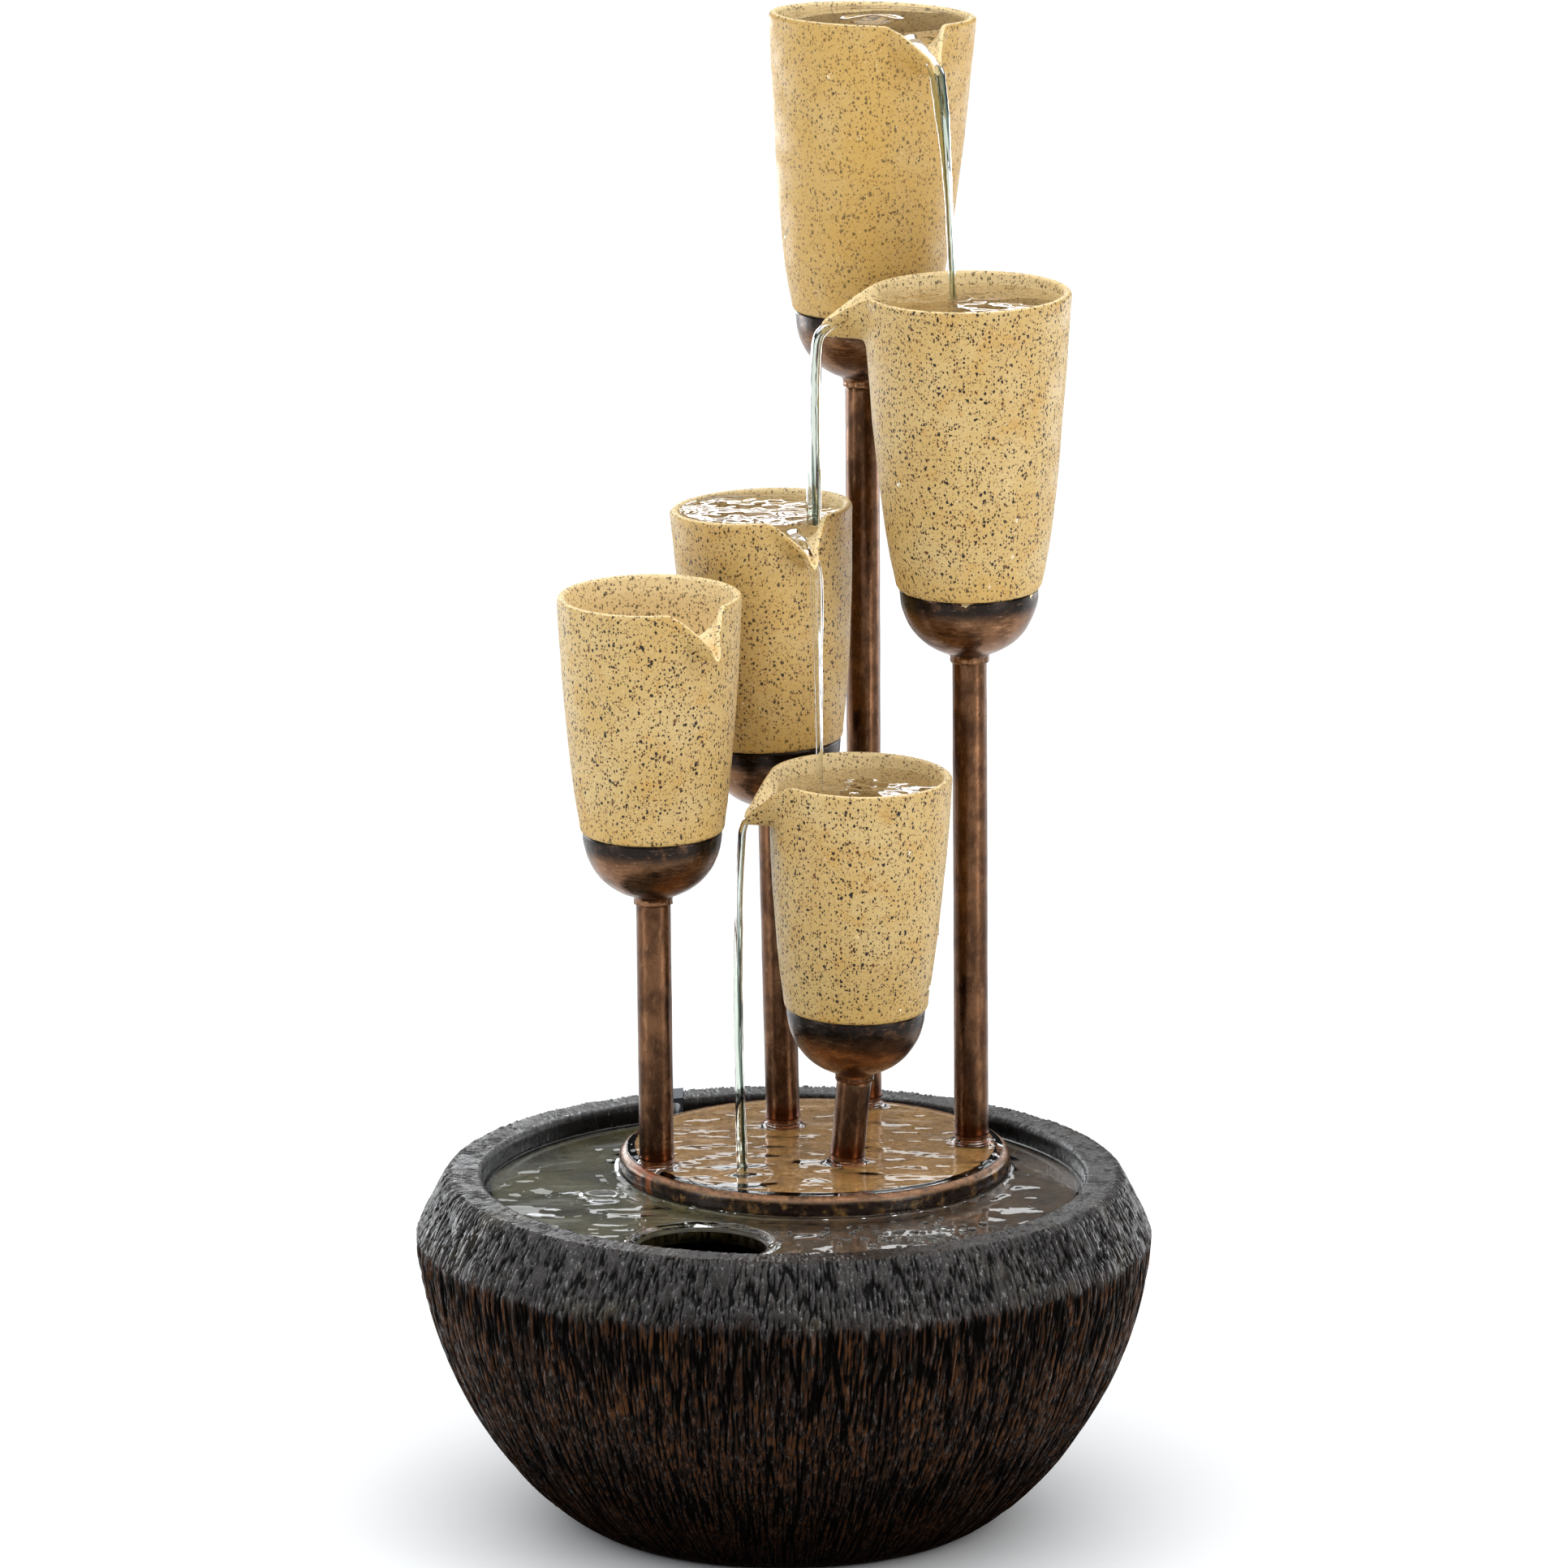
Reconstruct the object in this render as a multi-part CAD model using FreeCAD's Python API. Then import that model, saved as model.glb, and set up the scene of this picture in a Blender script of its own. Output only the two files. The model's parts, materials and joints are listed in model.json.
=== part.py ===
import FreeCAD, Part
import math
import os

# Tiered water fountain: five spouted cups on copper poles over a round basin. Millimetres.
# Origin: centre of the basin's flat base, on the ground. +Z is up, and -Y is the front.

V = FreeCAD.Vector
UP = V(0, 0, 1)
ORIGIN = V(0, 0, 0)

# --- basin ---
BASE_R = 110.0            # flat base
CREASE_R = 203.2          # widest line, under the sloped shoulder
CREASE_Z = 160.2
RIM_Z = 194.0             # flat rim: outer and inner radius
RIM_OUTER_R = 186.4
RIM_INNER_R = 165.6
FLOOR_Z = 10.0            # inside of the basin's floor
UNDERCUT_Z = 168.0        # below here the inner wall runs outwards to a thin shell
LUG_COUNT = 6             # lugs inside the wall that carry the deck
LUG_FIRST_DEG = 42.8
LUG_INNER_R = 150.0
LUG_WIDTH = 24.0
LUG_HEIGHT = 14.0

# --- deck and plate ---
DECK_T = 8.0
DECK_BOTTOM_Z = 172.0
DECK_TOP_Z = DECK_BOTTOM_Z + DECK_T
DECK_GAP = 0.7            # between the deck's edge and the basin wall
RETURN_HOLE = (-44.4, -103.2)
RETURN_HOLE_R = 35.2
PLATE_CENTRE = (17.0, 53.5)
PLATE_R = 108.5
PLATE_T = 13.0
PLATE_BEAD = 5.0
PLATE_TOP_Z = DECK_TOP_Z + PLATE_T

# --- lead notch in the rim ---
NOTCH_X = -61.5
NOTCH_W = 9.0
NOTCH_DEPTH = 12.0
LEAD_R = 3.5

# --- poles and the spigots they turn on ---
POLE_R = 9.5
POLE_BORE_R = 8.0
FOOT_GAP = 4.5            # the pole stops this far above the plate, on the spigot's collar
COLLAR_R = 8.7
PIN_R = 7.93              # 0.07 mm running clearance inside the pole
PIN_L = 26.0
TAIL_R = 5.0              # threaded tail through plate and deck
TAIL_HOLE_R = 5.3
WASHER_R = 10.5
WASHER_T = 1.6
NUT_AF = 17.0
NUT_T = 8.0
TAIL_L = PLATE_T + DECK_T + WASHER_T + NUT_T + 2.0
HOSE_GRIP_L = 12.0        # the fed spigot's tail is this much longer, for the hose
WATERWAY_R = 3.6          # through the fed spigot's tail, and narrower through its pin
PIN_WATERWAY_R = 3.1
SEAL_R = 0.6              # section of the two seal rings on the first spigot

# --- cradles and cups ---
CRADLE_R = 38.5
CRADLE_WALL = 2.3
CRADLE_H = 39.4           # top of the pole to the cradle's rim
STEM_R = 7.9
STEM_L = 16.0
NECK_R = 11.2
NECK_H = 3.0
SEAT_GAP = 0.2            # between the cup's round bottom and the cradle
CUP_WALL = 6.0
CUP_FOOT_R = 39.3
LIP_R = 2.6               # rounding of the cup's lip
# outer wall above the cradle: control points (radius, height) of one curve
CUP_SHAPES = {
    "large": {"wall": [(CUP_FOOT_R, 0), (47.5, 22), (52.5, 90), (57.75, 165.5)], "reach": 20.0},
    "small": {"wall": [(CUP_FOOT_R, 0), (44.5, 27), (48.5, 75), (51.0, 131.5)], "reach": 11.5},
}
SPOUT_HALF_W = 18.5       # where the beak leaves the rim
SPOUT_TIP_HALF_W = 5.5
SPOUT_DROP = 15.0         # the beak's top edge falls this far to its tip
SPOUT_DEPTH = 26.0        # the beak's keel meets the wall this far below the rim

# One row per tier, from the highest cup down. foot: where the pole's axis meets the plate.
# top: upper end of the pole. lean: the cup's tilt in degrees to the right and to the front.
# spout: heading in degrees from the front towards the right.
TIERS = [
    {"cup": "large", "foot": (45.6, 147.0), "top": (43.4, 147.0, 606.8), "lean": (1.5, -1.7), "spout": 26.0},
    {"cup": "large", "foot": (104.1, 65.0), "top": (101.9, 65.0, 468.6), "lean": (-0.7, 1.8), "spout": -92.0},
    {"cup": "small", "foot": (-0.5, 100.0), "top": (-5.0, 100.0, 375.3), "lean": (-2.6, 0.2), "spout": 26.0},
    {"cup": "small", "foot": (-70.0, 12.7), "top": (-71.5, 12.7, 344.5), "lean": (-0.6, 1.7), "spout": 35.0},
    {"cup": "small", "foot": (34.4, 19.5), "top": (38.8, 19.5, 242.4), "lean": (0.9, 1.8), "spout": -74.0},
]
FED_TIER = 1              # the pump feeds the first cup

# --- inlet nozzle in the first cup ---
NOZZLE_R = 6.0
NOZZLE_BORE_R = 4.0
NOZZLE_HOLE_R = 6.2
NOZZLE_FLANGE_R = 9.5
NOZZLE_FLANGE_Z = 11.0

# --- pump on the basin floor: x runs from its back cover to its intake ---
PUMP_Y = 82.0
PUMP_W = 38.0
PUMP_Z0 = FLOOR_Z + 6.0
PUMP_H = 40.0
PUMP_X0 = -20.0           # back of the coil case
PUMP_X1 = 16.0            # front of the coil case, back of the impeller chamber
PUMP_X2 = 34.0            # front of the impeller chamber
PUMP_AXIS_Z = PUMP_Z0 + 20.0
CASE_WALL = 3.0
BACK_COVER_T = 3.0
CHAMBER_R = 15.0
CHAMBER_FLOOR = 3.0
ROTOR_WELL_R = 8.2
MAGNET_R = 7.2
MAGNET_L = 20.0
WELL_WALL = 1.6
SHAFT_R = 1.25
IMPELLER_R = 12.5
BLADE_COUNT = 6
CHAMBER_COVER_T = 3.0
INTAKE_L = 12.0
DIAL_R = 9.0
OUTLET = (25.0, 90.0)     # plan position of the pump's outlet
OUTLET_R = 4.7
OUTLET_BORE_R = 3.2
OUTLET_TOP_Z = 74.0

# --- supply hose from the pump's outlet to the first spigot ---
HOSE_R = 7.2
HOSE_BORE_R = 5.05
HOSE_BOTTOM_Z = 62.0
HOSE_BEND_R = 32.0
HOSE_RISE = 30.0          # from each end up or down to the corner of the bend
CLAMP_T = 1.2


def export(node, shape):
    """Write one sub-part, after checking that it is made of closed, valid solids."""
    if not shape.isValid() or not shape.Solids:
        raise ValueError("bad shape: " + node)
    shape.exportStep("parts/" + node + ".step")
    print(node, len(shape.Solids), round(shape.Volume / 1000.0, 2), "cm3")


def cylinder(radius, length, base, axis=UP):
    return Part.makeCylinder(radius, length, base, axis)


def tube(outer, inner, length, base, axis=UP):
    return cylinder(outer, length, base, axis).cut(cylinder(inner, length, base, axis))


def block(x0, x1, y0, y1, z0, z1):
    return Part.makeBox(x1 - x0, y1 - y0, z1 - z0, V(x0, y0, z0))


def group(solids):
    return Part.makeCompound(solids)


def profile_point(radius, height):
    return V(radius, 0, height)


def line(start, end):
    return Part.makeLine(profile_point(*start), profile_point(*end))


def curve(points):
    bezier = Part.BezierCurve()
    bezier.setPoles([profile_point(*point) for point in points])
    return bezier.toShape()


def revolve(edges):
    """Turn a closed outline in the XZ half-plane about the Z axis."""
    face = Part.Face(Part.Wire(edges))
    return face.revolve(ORIGIN, UP, 360)


def hexagon(across_flats, height, centre):
    corner_r = across_flats / math.sqrt(3)
    corners = []
    for side in range(7):
        turn = math.radians(60 * side)
        corners.append(centre + V(corner_r * math.cos(turn), corner_r * math.sin(turn), 0))
    return Part.Face(Part.makePolygon(corners)).extrude(V(0, 0, height))


# --- tier geometry ---

def plate_point(tier):
    return V(tier["foot"][0], tier["foot"][1], PLATE_TOP_Z)


def pole_axis(tier):
    axis = V(*tier["top"]) - plate_point(tier)
    return axis.normalize()


def cup_height(tier):
    return CUP_SHAPES[tier["cup"]]["wall"][-1][1]


def seat_in_cradle(shape, tier):
    """Move a shape from the upright cup's frame, origin at the pole's top, to its leaning place."""
    right, front = tier["lean"]
    axis = V(math.tan(math.radians(right)), -math.tan(math.radians(front)), 1)
    moved = shape.copy()
    moved.Placement = FreeCAD.Placement(V(*tier["top"]), FreeCAD.Rotation(UP, axis))
    return moved


# --- basin ---

def basin_body():
    """The basin without its hollow: base, curved wall, sloped shoulder and flat rim."""
    wall = [(BASE_R, 0), (138.2, 11.2), (195.0, 70.3), (CREASE_R, CREASE_Z)]
    return revolve([
        line((0, 0), (BASE_R, 0)),
        curve(wall),
        line((CREASE_R, CREASE_Z), (RIM_OUTER_R, RIM_Z)),
        line((RIM_OUTER_R, RIM_Z), (0, RIM_Z)),
        line((0, RIM_Z), (0, 0)),
    ])


def basin_hollow():
    """The upright inner wall at the rim, and the wider hollow under it."""
    floor_r = 112.0
    wide_r = 188.0
    wide_z = 134.0
    wall = [(floor_r, FLOOR_Z), (139.0, 22.0), (183.0, 70.0), (wide_r, wide_z)]
    return revolve([
        line((0, FLOOR_Z), (floor_r, FLOOR_Z)),
        curve(wall),
        line((wide_r, wide_z), (RIM_INNER_R, UNDERCUT_Z)),
        line((RIM_INNER_R, UNDERCUT_Z), (RIM_INNER_R, RIM_Z)),
        line((RIM_INNER_R, RIM_Z), (0, RIM_Z)),
        line((0, RIM_Z), (0, FLOOR_Z)),
    ])


def lead_notch():
    x0 = NOTCH_X - NOTCH_W / 2
    inside_y = RIM_INNER_R - 14.0
    return block(x0, x0 + NOTCH_W, inside_y, CREASE_R, RIM_Z - NOTCH_DEPTH, RIM_Z)


def deck_lugs(body):
    lugs = []
    for index in range(LUG_COUNT):
        lug = block(LUG_INNER_R, CREASE_R, -LUG_WIDTH / 2, LUG_WIDTH / 2,
                    DECK_BOTTOM_Z - LUG_HEIGHT, DECK_BOTTOM_Z)
        lug.rotate(ORIGIN, UP, LUG_FIRST_DEG + index * 360 / LUG_COUNT)
        lugs.append(lug.common(body))
    return lugs


def make_basin():
    body = basin_body()
    shell = body.cut(basin_hollow())
    shell = shell.fuse(deck_lugs(body)).removeSplitter()
    gland = shell.common(lead_notch())
    gland_bore = cylinder(LEAD_R, CREASE_R, V(NOTCH_X, 0, RIM_Z - NOTCH_DEPTH / 2), V(0, 1, 0))
    export("basin_shell", shell.cut(lead_notch()))
    export("rim_lead_gland", gland.cut(gland_bore))


# --- deck, plate and spigots ---

def tail_holes(radius, z0, length):
    return [cylinder(radius, length, V(tier["foot"][0], tier["foot"][1], z0)) for tier in TIERS]


def make_deck():
    deck = cylinder(RIM_INNER_R - DECK_GAP, DECK_T, V(0, 0, DECK_BOTTOM_Z))
    return_hole = cylinder(RETURN_HOLE_R, DECK_T, V(*RETURN_HOLE, DECK_BOTTOM_Z))
    lead_y = math.sqrt(RIM_INNER_R ** 2 - NOTCH_X ** 2)
    lead_hole = cylinder(LEAD_R + 2.0, DECK_T, V(NOTCH_X, lead_y, DECK_BOTTOM_Z))
    holes = tail_holes(TAIL_HOLE_R, DECK_BOTTOM_Z, DECK_T)
    export("deck", deck.cut([return_hole, lead_hole] + holes))


def make_plate():
    plate = cylinder(PLATE_R, PLATE_T, V(*PLATE_CENTRE, DECK_TOP_Z))
    rims = [edge for edge in plate.Edges if edge.Closed and len(edge.Vertexes) == 1]
    plate = plate.makeFillet(PLATE_BEAD, rims)
    export("base_plate", plate.cut(tail_holes(TAIL_HOLE_R, DECK_TOP_Z, PLATE_T)))


def tail_length(number):
    return TAIL_L + HOSE_GRIP_L if number == FED_TIER else TAIL_L


def spigot_seal_points(tier):
    foot = plate_point(tier) + pole_axis(tier) * FOOT_GAP
    return [foot + pole_axis(tier) * rise for rise in (10.0, 18.0)]


def make_spigot(number, tier):
    """Collar and pin lie along the pole, and the threaded tail stands upright in the plate."""
    axis = pole_axis(tier)
    foot = plate_point(tier)
    sink = 4.0
    collar = cylinder(COLLAR_R, sink + FOOT_GAP, foot - axis * sink, axis)
    below_plate = cylinder(3 * COLLAR_R, 4 * sink, V(foot.x, foot.y, PLATE_TOP_Z - 4 * sink))
    collar = collar.cut(below_plate)
    pin = cylinder(PIN_R, PIN_L, foot + axis * FOOT_GAP, axis)
    length = tail_length(number)
    tail = cylinder(TAIL_R, length, foot - UP * length)
    spigot = collar.fuse([pin, tail])
    if number == FED_TIER:
        spigot = spigot.cut(cylinder(WATERWAY_R, length + 1.0, foot - UP * length))
        spigot = spigot.cut(cylinder(PIN_WATERWAY_R, PIN_L + FOOT_GAP, foot, axis))
        for point in spigot_seal_points(tier):
            groove_base = point - axis * (SEAL_R + 0.1)
            spigot = spigot.cut(tube(PIN_R + 1.0, PIN_R - 2 * SEAL_R, 2 * SEAL_R + 0.2, groove_base, axis))
    export("spigot_%d" % number, spigot.removeSplitter())


def make_spigot_seals():
    tier = TIERS[FED_TIER - 1]
    rings = []
    for point in spigot_seal_points(tier):
        rings.append(Part.makeTorus(PIN_R - SEAL_R, SEAL_R, point, pole_axis(tier)))
    export("spigot_seals", group(rings))


def make_spigot_fastenings():
    washers = []
    nuts = []
    for tier in TIERS:
        washer_base = V(tier["foot"][0], tier["foot"][1], DECK_BOTTOM_Z - WASHER_T)
        nut_base = washer_base - UP * NUT_T
        washers.append(tube(WASHER_R, TAIL_HOLE_R, WASHER_T, washer_base))
        nuts.append(hexagon(NUT_AF, NUT_T, nut_base).cut(cylinder(TAIL_R + 0.05, NUT_T, nut_base)))
    export("spigot_washers", group(washers))
    export("spigot_nuts", group(nuts))


# --- poles, cradles and cups ---

def make_pole(number, tier):
    axis = pole_axis(tier)
    base = plate_point(tier) + axis * FOOT_GAP
    length = (V(*tier["top"]) - base).Length
    export("pole_%d" % number, tube(POLE_R, POLE_BORE_R, length, base, axis))


def make_cradle(number, tier):
    """A half-round shell whose neck sleeves the pole's top end and whose stem plugs into it."""
    ball = Part.makeSphere(CRADLE_R, V(0, 0, CRADLE_H), UP, -90, 0, 360)
    hollow = Part.makeSphere(CRADLE_R - CRADLE_WALL, V(0, 0, CRADLE_H))
    axis = pole_axis(tier)
    top = V(*tier["top"])
    neck = cylinder(NECK_R, 2 * NECK_H, top - axis * NECK_H, axis)
    neck = neck.cut(cylinder(POLE_R + 0.05, NECK_H, top - axis * NECK_H, axis))
    stem = cylinder(STEM_R, STEM_L + NECK_H, top - axis * STEM_L, axis)
    cradle = seat_in_cradle(ball, tier).fuse([neck, stem])
    cradle = cradle.cut(seat_in_cradle(hollow, tier))
    if number == FED_TIER:
        waterway = cylinder(NOZZLE_HOLE_R, STEM_L + CRADLE_H, ORIGIN - UP * STEM_L)
        cradle = cradle.cut(seat_in_cradle(waterway, tier))
    export("cradle_%d" % number, cradle.removeSplitter())


def cup_outside(wall):
    """The cup's outer form: curved wall, rounded lip, and a half-round bottom in the cradle."""
    foot_r, top_r, height = wall[0][0], wall[-1][0], wall[-1][1]
    seat_r = CRADLE_R - CRADLE_WALL - SEAT_GAP
    form = revolve([
        line((0, 0), (foot_r, 0)),
        curve(wall),
        line((top_r, height), (0, height)),
        line((0, height), (0, 0)),
    ])
    lip = [edge for edge in form.Edges if edge.Closed and abs(edge.CenterOfMass.z - height) < 0.01]
    form = form.makeFillet(LIP_R, lip)
    bottom = Part.makeSphere(seat_r, ORIGIN, UP, -90, 0, 360)
    return form.fuse(bottom)


def cup_hollow(wall):
    inner = [(radius - CUP_WALL, height) for radius, height in wall]
    foot_r, top_r, height = inner[0][0], inner[-1][0], inner[-1][1]
    well_r = 30.0
    form = revolve([
        line((0, 0), (foot_r, 0)),
        curve(inner),
        line((top_r, height), (0, height)),
        line((0, height), (0, 0)),
    ])
    return form.fuse(Part.makeSphere(well_r, ORIGIN, UP, -90, 0, 360))


def beak(root, tip):
    """A three-sided bar from root to tip. Each: distance out, half width, top and keel height."""
    rings = []
    for out, half_w, top, keel in (root, tip):
        corners = [V(-half_w, -out, top), V(half_w, -out, top), V(0, -out, keel)]
        rings.append(Part.makePolygon(corners + corners[:1]))
    return Part.makeLoft(rings, True, True)


def make_cup(number, tier):
    """The beak points to the front in the cup's own frame, then turns to the tier's heading."""
    shape = CUP_SHAPES[tier["cup"]]
    wall = shape["wall"]
    rim_r = wall[-1][0]
    rim_z = wall[-1][1]
    tip_r = rim_r + shape["reach"]
    horn = beak((rim_r - 5.0, SPOUT_HALF_W, rim_z - 1.0, rim_z - SPOUT_DEPTH),
                (tip_r, SPOUT_TIP_HALF_W, rim_z - SPOUT_DROP, rim_z - SPOUT_DEPTH + 1.0))
    channel = beak((rim_r - 12.0, SPOUT_HALF_W - 2.0, rim_z + 6.0, rim_z - 6.0),
                   (tip_r + 1.0, SPOUT_TIP_HALF_W - 0.5, rim_z - SPOUT_DROP + 3.0, rim_z - SPOUT_DEPTH + 5.0))
    cup = cup_outside(wall).fuse(horn).cut([cup_hollow(wall), channel])
    if number == FED_TIER:
        cup = cup.cut(cylinder(NOZZLE_HOLE_R, 2 * CRADLE_R, ORIGIN - UP * CRADLE_R * 2))
    cup = cup.removeSplitter()
    cup.rotate(ORIGIN, UP, tier["spout"])
    cup.translate(V(0, 0, CRADLE_H))
    placed = Part.makeCompound([cup])
    export("cup_%d" % number, seat_in_cradle(placed, tier))


def make_inlet_nozzle():
    foot_z = 2.0
    barrel = cylinder(NOZZLE_R, 18.0, V(0, 0, foot_z))
    flange = cylinder(NOZZLE_FLANGE_R, 3.0, V(0, 0, NOZZLE_FLANGE_Z))
    nozzle = barrel.fuse(flange).cut(cylinder(NOZZLE_BORE_R, 18.0, V(0, 0, foot_z)))
    export("inlet_nozzle", seat_in_cradle(nozzle, TIERS[FED_TIER - 1]))


# --- pump ---

def pump_axis_point(x):
    return V(x, PUMP_Y, PUMP_AXIS_Z)


def rod_x(radius, x0, x1):
    """A round bar along the pump's own axis."""
    return cylinder(radius, x1 - x0, pump_axis_point(x0), V(1, 0, 0))


def make_pump_housing():
    y0 = PUMP_Y - PUMP_W / 2
    y1 = PUMP_Y + PUMP_W / 2
    z1 = PUMP_Z0 + PUMP_H
    body = block(PUMP_X0, PUMP_X2, y0, y1, PUMP_Z0, z1)
    along_x = [e for e in body.Edges if abs(e.Vertexes[0].Y - e.Vertexes[1].Y) < 0.01
               and abs(e.Vertexes[0].Z - e.Vertexes[1].Z) < 0.01]
    body = body.makeFillet(4.0, along_x)
    boss = cylinder(7.5, 3.0, V(*OUTLET, z1))
    coil_room = block(PUMP_X0, PUMP_X1 - CASE_WALL, y0 + CASE_WALL, y1 - CASE_WALL,
                      PUMP_Z0 + CASE_WALL, z1 - CASE_WALL)
    well_x0 = PUMP_X1 - CASE_WALL - MAGNET_L
    well = rod_x(ROTOR_WELL_R + WELL_WALL, well_x0, PUMP_X1)
    chamber = rod_x(CHAMBER_R, PUMP_X1 + CHAMBER_FLOOR, PUMP_X2)
    well_bore = rod_x(ROTOR_WELL_R, well_x0 + WELL_WALL, PUMP_X2)
    outlet_bore = cylinder(OUTLET_R, z1 + 3.0 - PUMP_AXIS_Z, V(*OUTLET, PUMP_AXIS_Z))
    housing = body.fuse(boss).cut(coil_room).fuse(well)
    housing = housing.cut([chamber, well_bore, outlet_bore])
    export("pump_housing", housing.removeSplitter())


def make_pump_coil():
    """A laminated core with two legs beside the rotor well, and the coil wound on its back."""
    leg_y = ROTOR_WELL_R + WELL_WALL + 0.2
    outer_y = PUMP_W / 2 - CASE_WALL - 0.4
    half_h = 7.0
    z0 = PUMP_AXIS_Z - half_h
    z1 = PUMP_AXIS_Z + half_h
    back_x = PUMP_X0 + 1.0
    bar_x = back_x + 7.0
    front_x = PUMP_X1 - CASE_WALL - 1.0
    legs = [
        block(back_x, front_x, PUMP_Y - outer_y, PUMP_Y - leg_y, z0, z1),
        block(back_x, front_x, PUMP_Y + leg_y, PUMP_Y + outer_y, z0, z1),
    ]
    core = block(back_x, bar_x, PUMP_Y - outer_y, PUMP_Y + outer_y, z0, z1).fuse(legs).removeSplitter()
    coil_half = leg_y - 0.3
    coil = block(back_x - 0.6, bar_x + 0.6, PUMP_Y - coil_half, PUMP_Y + coil_half, z0 - 6.0, z1 + 6.0)
    slot = block(back_x - 0.1, bar_x + 0.1, PUMP_Y - coil_half, PUMP_Y + coil_half, z0 - 0.1, z1 + 0.1)
    export("pump_core", core)
    export("pump_coil", coil.cut(slot))


def make_pump_back():
    y0 = PUMP_Y - PUMP_W / 2
    z1 = PUMP_Z0 + PUMP_H
    lead_boss_r = 6.0
    plate = block(PUMP_X0 - BACK_COVER_T, PUMP_X0, y0, y0 + PUMP_W, PUMP_Z0, z1)
    lead_hole = rod_x(lead_boss_r - 1.5, PUMP_X0 - BACK_COVER_T, PUMP_X0)
    lead_hole.translate(V(0, 0, 12.0))
    gland = rod_x(lead_boss_r, PUMP_X0 - BACK_COVER_T - 6.0, PUMP_X0 - BACK_COVER_T)
    gland = gland.fuse(rod_x(lead_boss_r - 1.5, PUMP_X0 - BACK_COVER_T, PUMP_X0))
    gland = gland.cut(rod_x(LEAD_R, PUMP_X0 - BACK_COVER_T - 6.0, PUMP_X0))
    gland.translate(V(0, 0, 12.0))
    export("pump_back_cover", plate.cut(lead_hole))
    export("pump_lead_gland", gland)


def make_pump_rotor():
    """Shaft fixed in the well and the chamber cover; magnet and impeller spin on it as one piece."""
    well_x0 = PUMP_X1 - CASE_WALL - MAGNET_L + WELL_WALL
    cover_x = PUMP_X2 - CHAMBER_COVER_T
    shaft = rod_x(SHAFT_R, well_x0, cover_x)
    magnet = rod_x(MAGNET_R, well_x0 + 0.6, PUMP_X1 + CHAMBER_FLOOR + 1.0)
    disc_x = PUMP_X1 + CHAMBER_FLOOR + 1.0
    disc = rod_x(IMPELLER_R, disc_x, disc_x + 1.5)
    blades = []
    for index in range(BLADE_COUNT):
        blade = block(disc_x, disc_x + 8.0, PUMP_Y - 0.7, PUMP_Y + 0.7, PUMP_AXIS_Z + 4.0,
                      PUMP_AXIS_Z + IMPELLER_R - 0.4)
        blade.rotate(pump_axis_point(0), V(1, 0, 0), index * 360 / BLADE_COUNT)
        blades.append(blade)
    rotor = magnet.fuse([disc] + blades).cut(rod_x(SHAFT_R + 0.06, PUMP_X0, PUMP_X2))
    export("pump_shaft", shaft)
    export("pump_rotor", rotor.removeSplitter())


def make_chamber_cover():
    """Disc in the chamber's mouth with an eye for the water and a bridge for the shaft's end."""
    x0 = PUMP_X2 - CHAMBER_COVER_T
    eye_r = 6.5
    disc = rod_x(CHAMBER_R, x0, PUMP_X2).cut(rod_x(eye_r, x0, PUMP_X2))
    bridge = block(x0, PUMP_X2, PUMP_Y - 1.5, PUMP_Y + 1.5, PUMP_AXIS_Z - eye_r - 1.0,
                   PUMP_AXIS_Z + eye_r + 1.0)
    export("pump_chamber_cover", disc.fuse(bridge).removeSplitter())


def make_intake_cover():
    """A slotted cap against the pump's front, with the flow dial's seat in its middle."""
    y0 = PUMP_Y - PUMP_W / 2
    y1 = PUMP_Y + PUMP_W / 2
    z1 = PUMP_Z0 + PUMP_H
    x0 = PUMP_X2
    x1 = PUMP_X2 + INTAKE_L
    cap = block(x0, x1, y0, y1, PUMP_Z0 + 2.0, z1)
    cap = cap.cut(block(x0, x1 - 2.5, y0 + 2.5, y1 - 2.5, PUMP_Z0 + 4.5, z1 - 2.5))
    slots = []
    for index in range(5):
        slot_z = PUMP_Z0 + 7.0 + index * 6.4
        for side_y in (y0, y1 - 2.5):
            slots.append(block(x0 + 3.0, x1 - 3.0, side_y, side_y + 2.5, slot_z, slot_z + 3.0))
    dial_hole = rod_x(3.2, x1 - 2.5, x1)
    windows = []
    for turn in (45, 135, 225, 315):
        window = rod_x(1.8, x1 - 2.5, x1)
        window.translate(V(0, 6.0, 0))
        window.rotate(pump_axis_point(0), V(1, 0, 0), turn)
        windows.append(window)
    export("pump_intake_cover", cap.cut(slots + windows + [dial_hole]))


def make_flow_dial():
    """A disc with a grip bar that turns over the intake's windows; its stub sits in the cap."""
    x1 = PUMP_X2 + INTAKE_L
    disc_t = 2.0
    disc = rod_x(DIAL_R, x1 + 0.2, x1 + 0.2 + disc_t)
    stub = rod_x(3.14, x1 - 4.0, x1 + 0.2)
    grip = block(x1 + disc_t, x1 + disc_t + 3.0, PUMP_Y - 1.2, PUMP_Y + 1.2, PUMP_AXIS_Z - 7.0,
                 PUMP_AXIS_Z + 7.0)
    ports = []
    for turn in (45, 135, 225, 315):
        port = rod_x(1.8, x1, x1 + disc_t + 0.2)
        port.translate(V(0, 6.0, 0))
        port.rotate(pump_axis_point(0), V(1, 0, 0), turn)
        ports.append(port)
    export("pump_flow_dial", disc.fuse([stub, grip]).cut(ports).removeSplitter())


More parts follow.
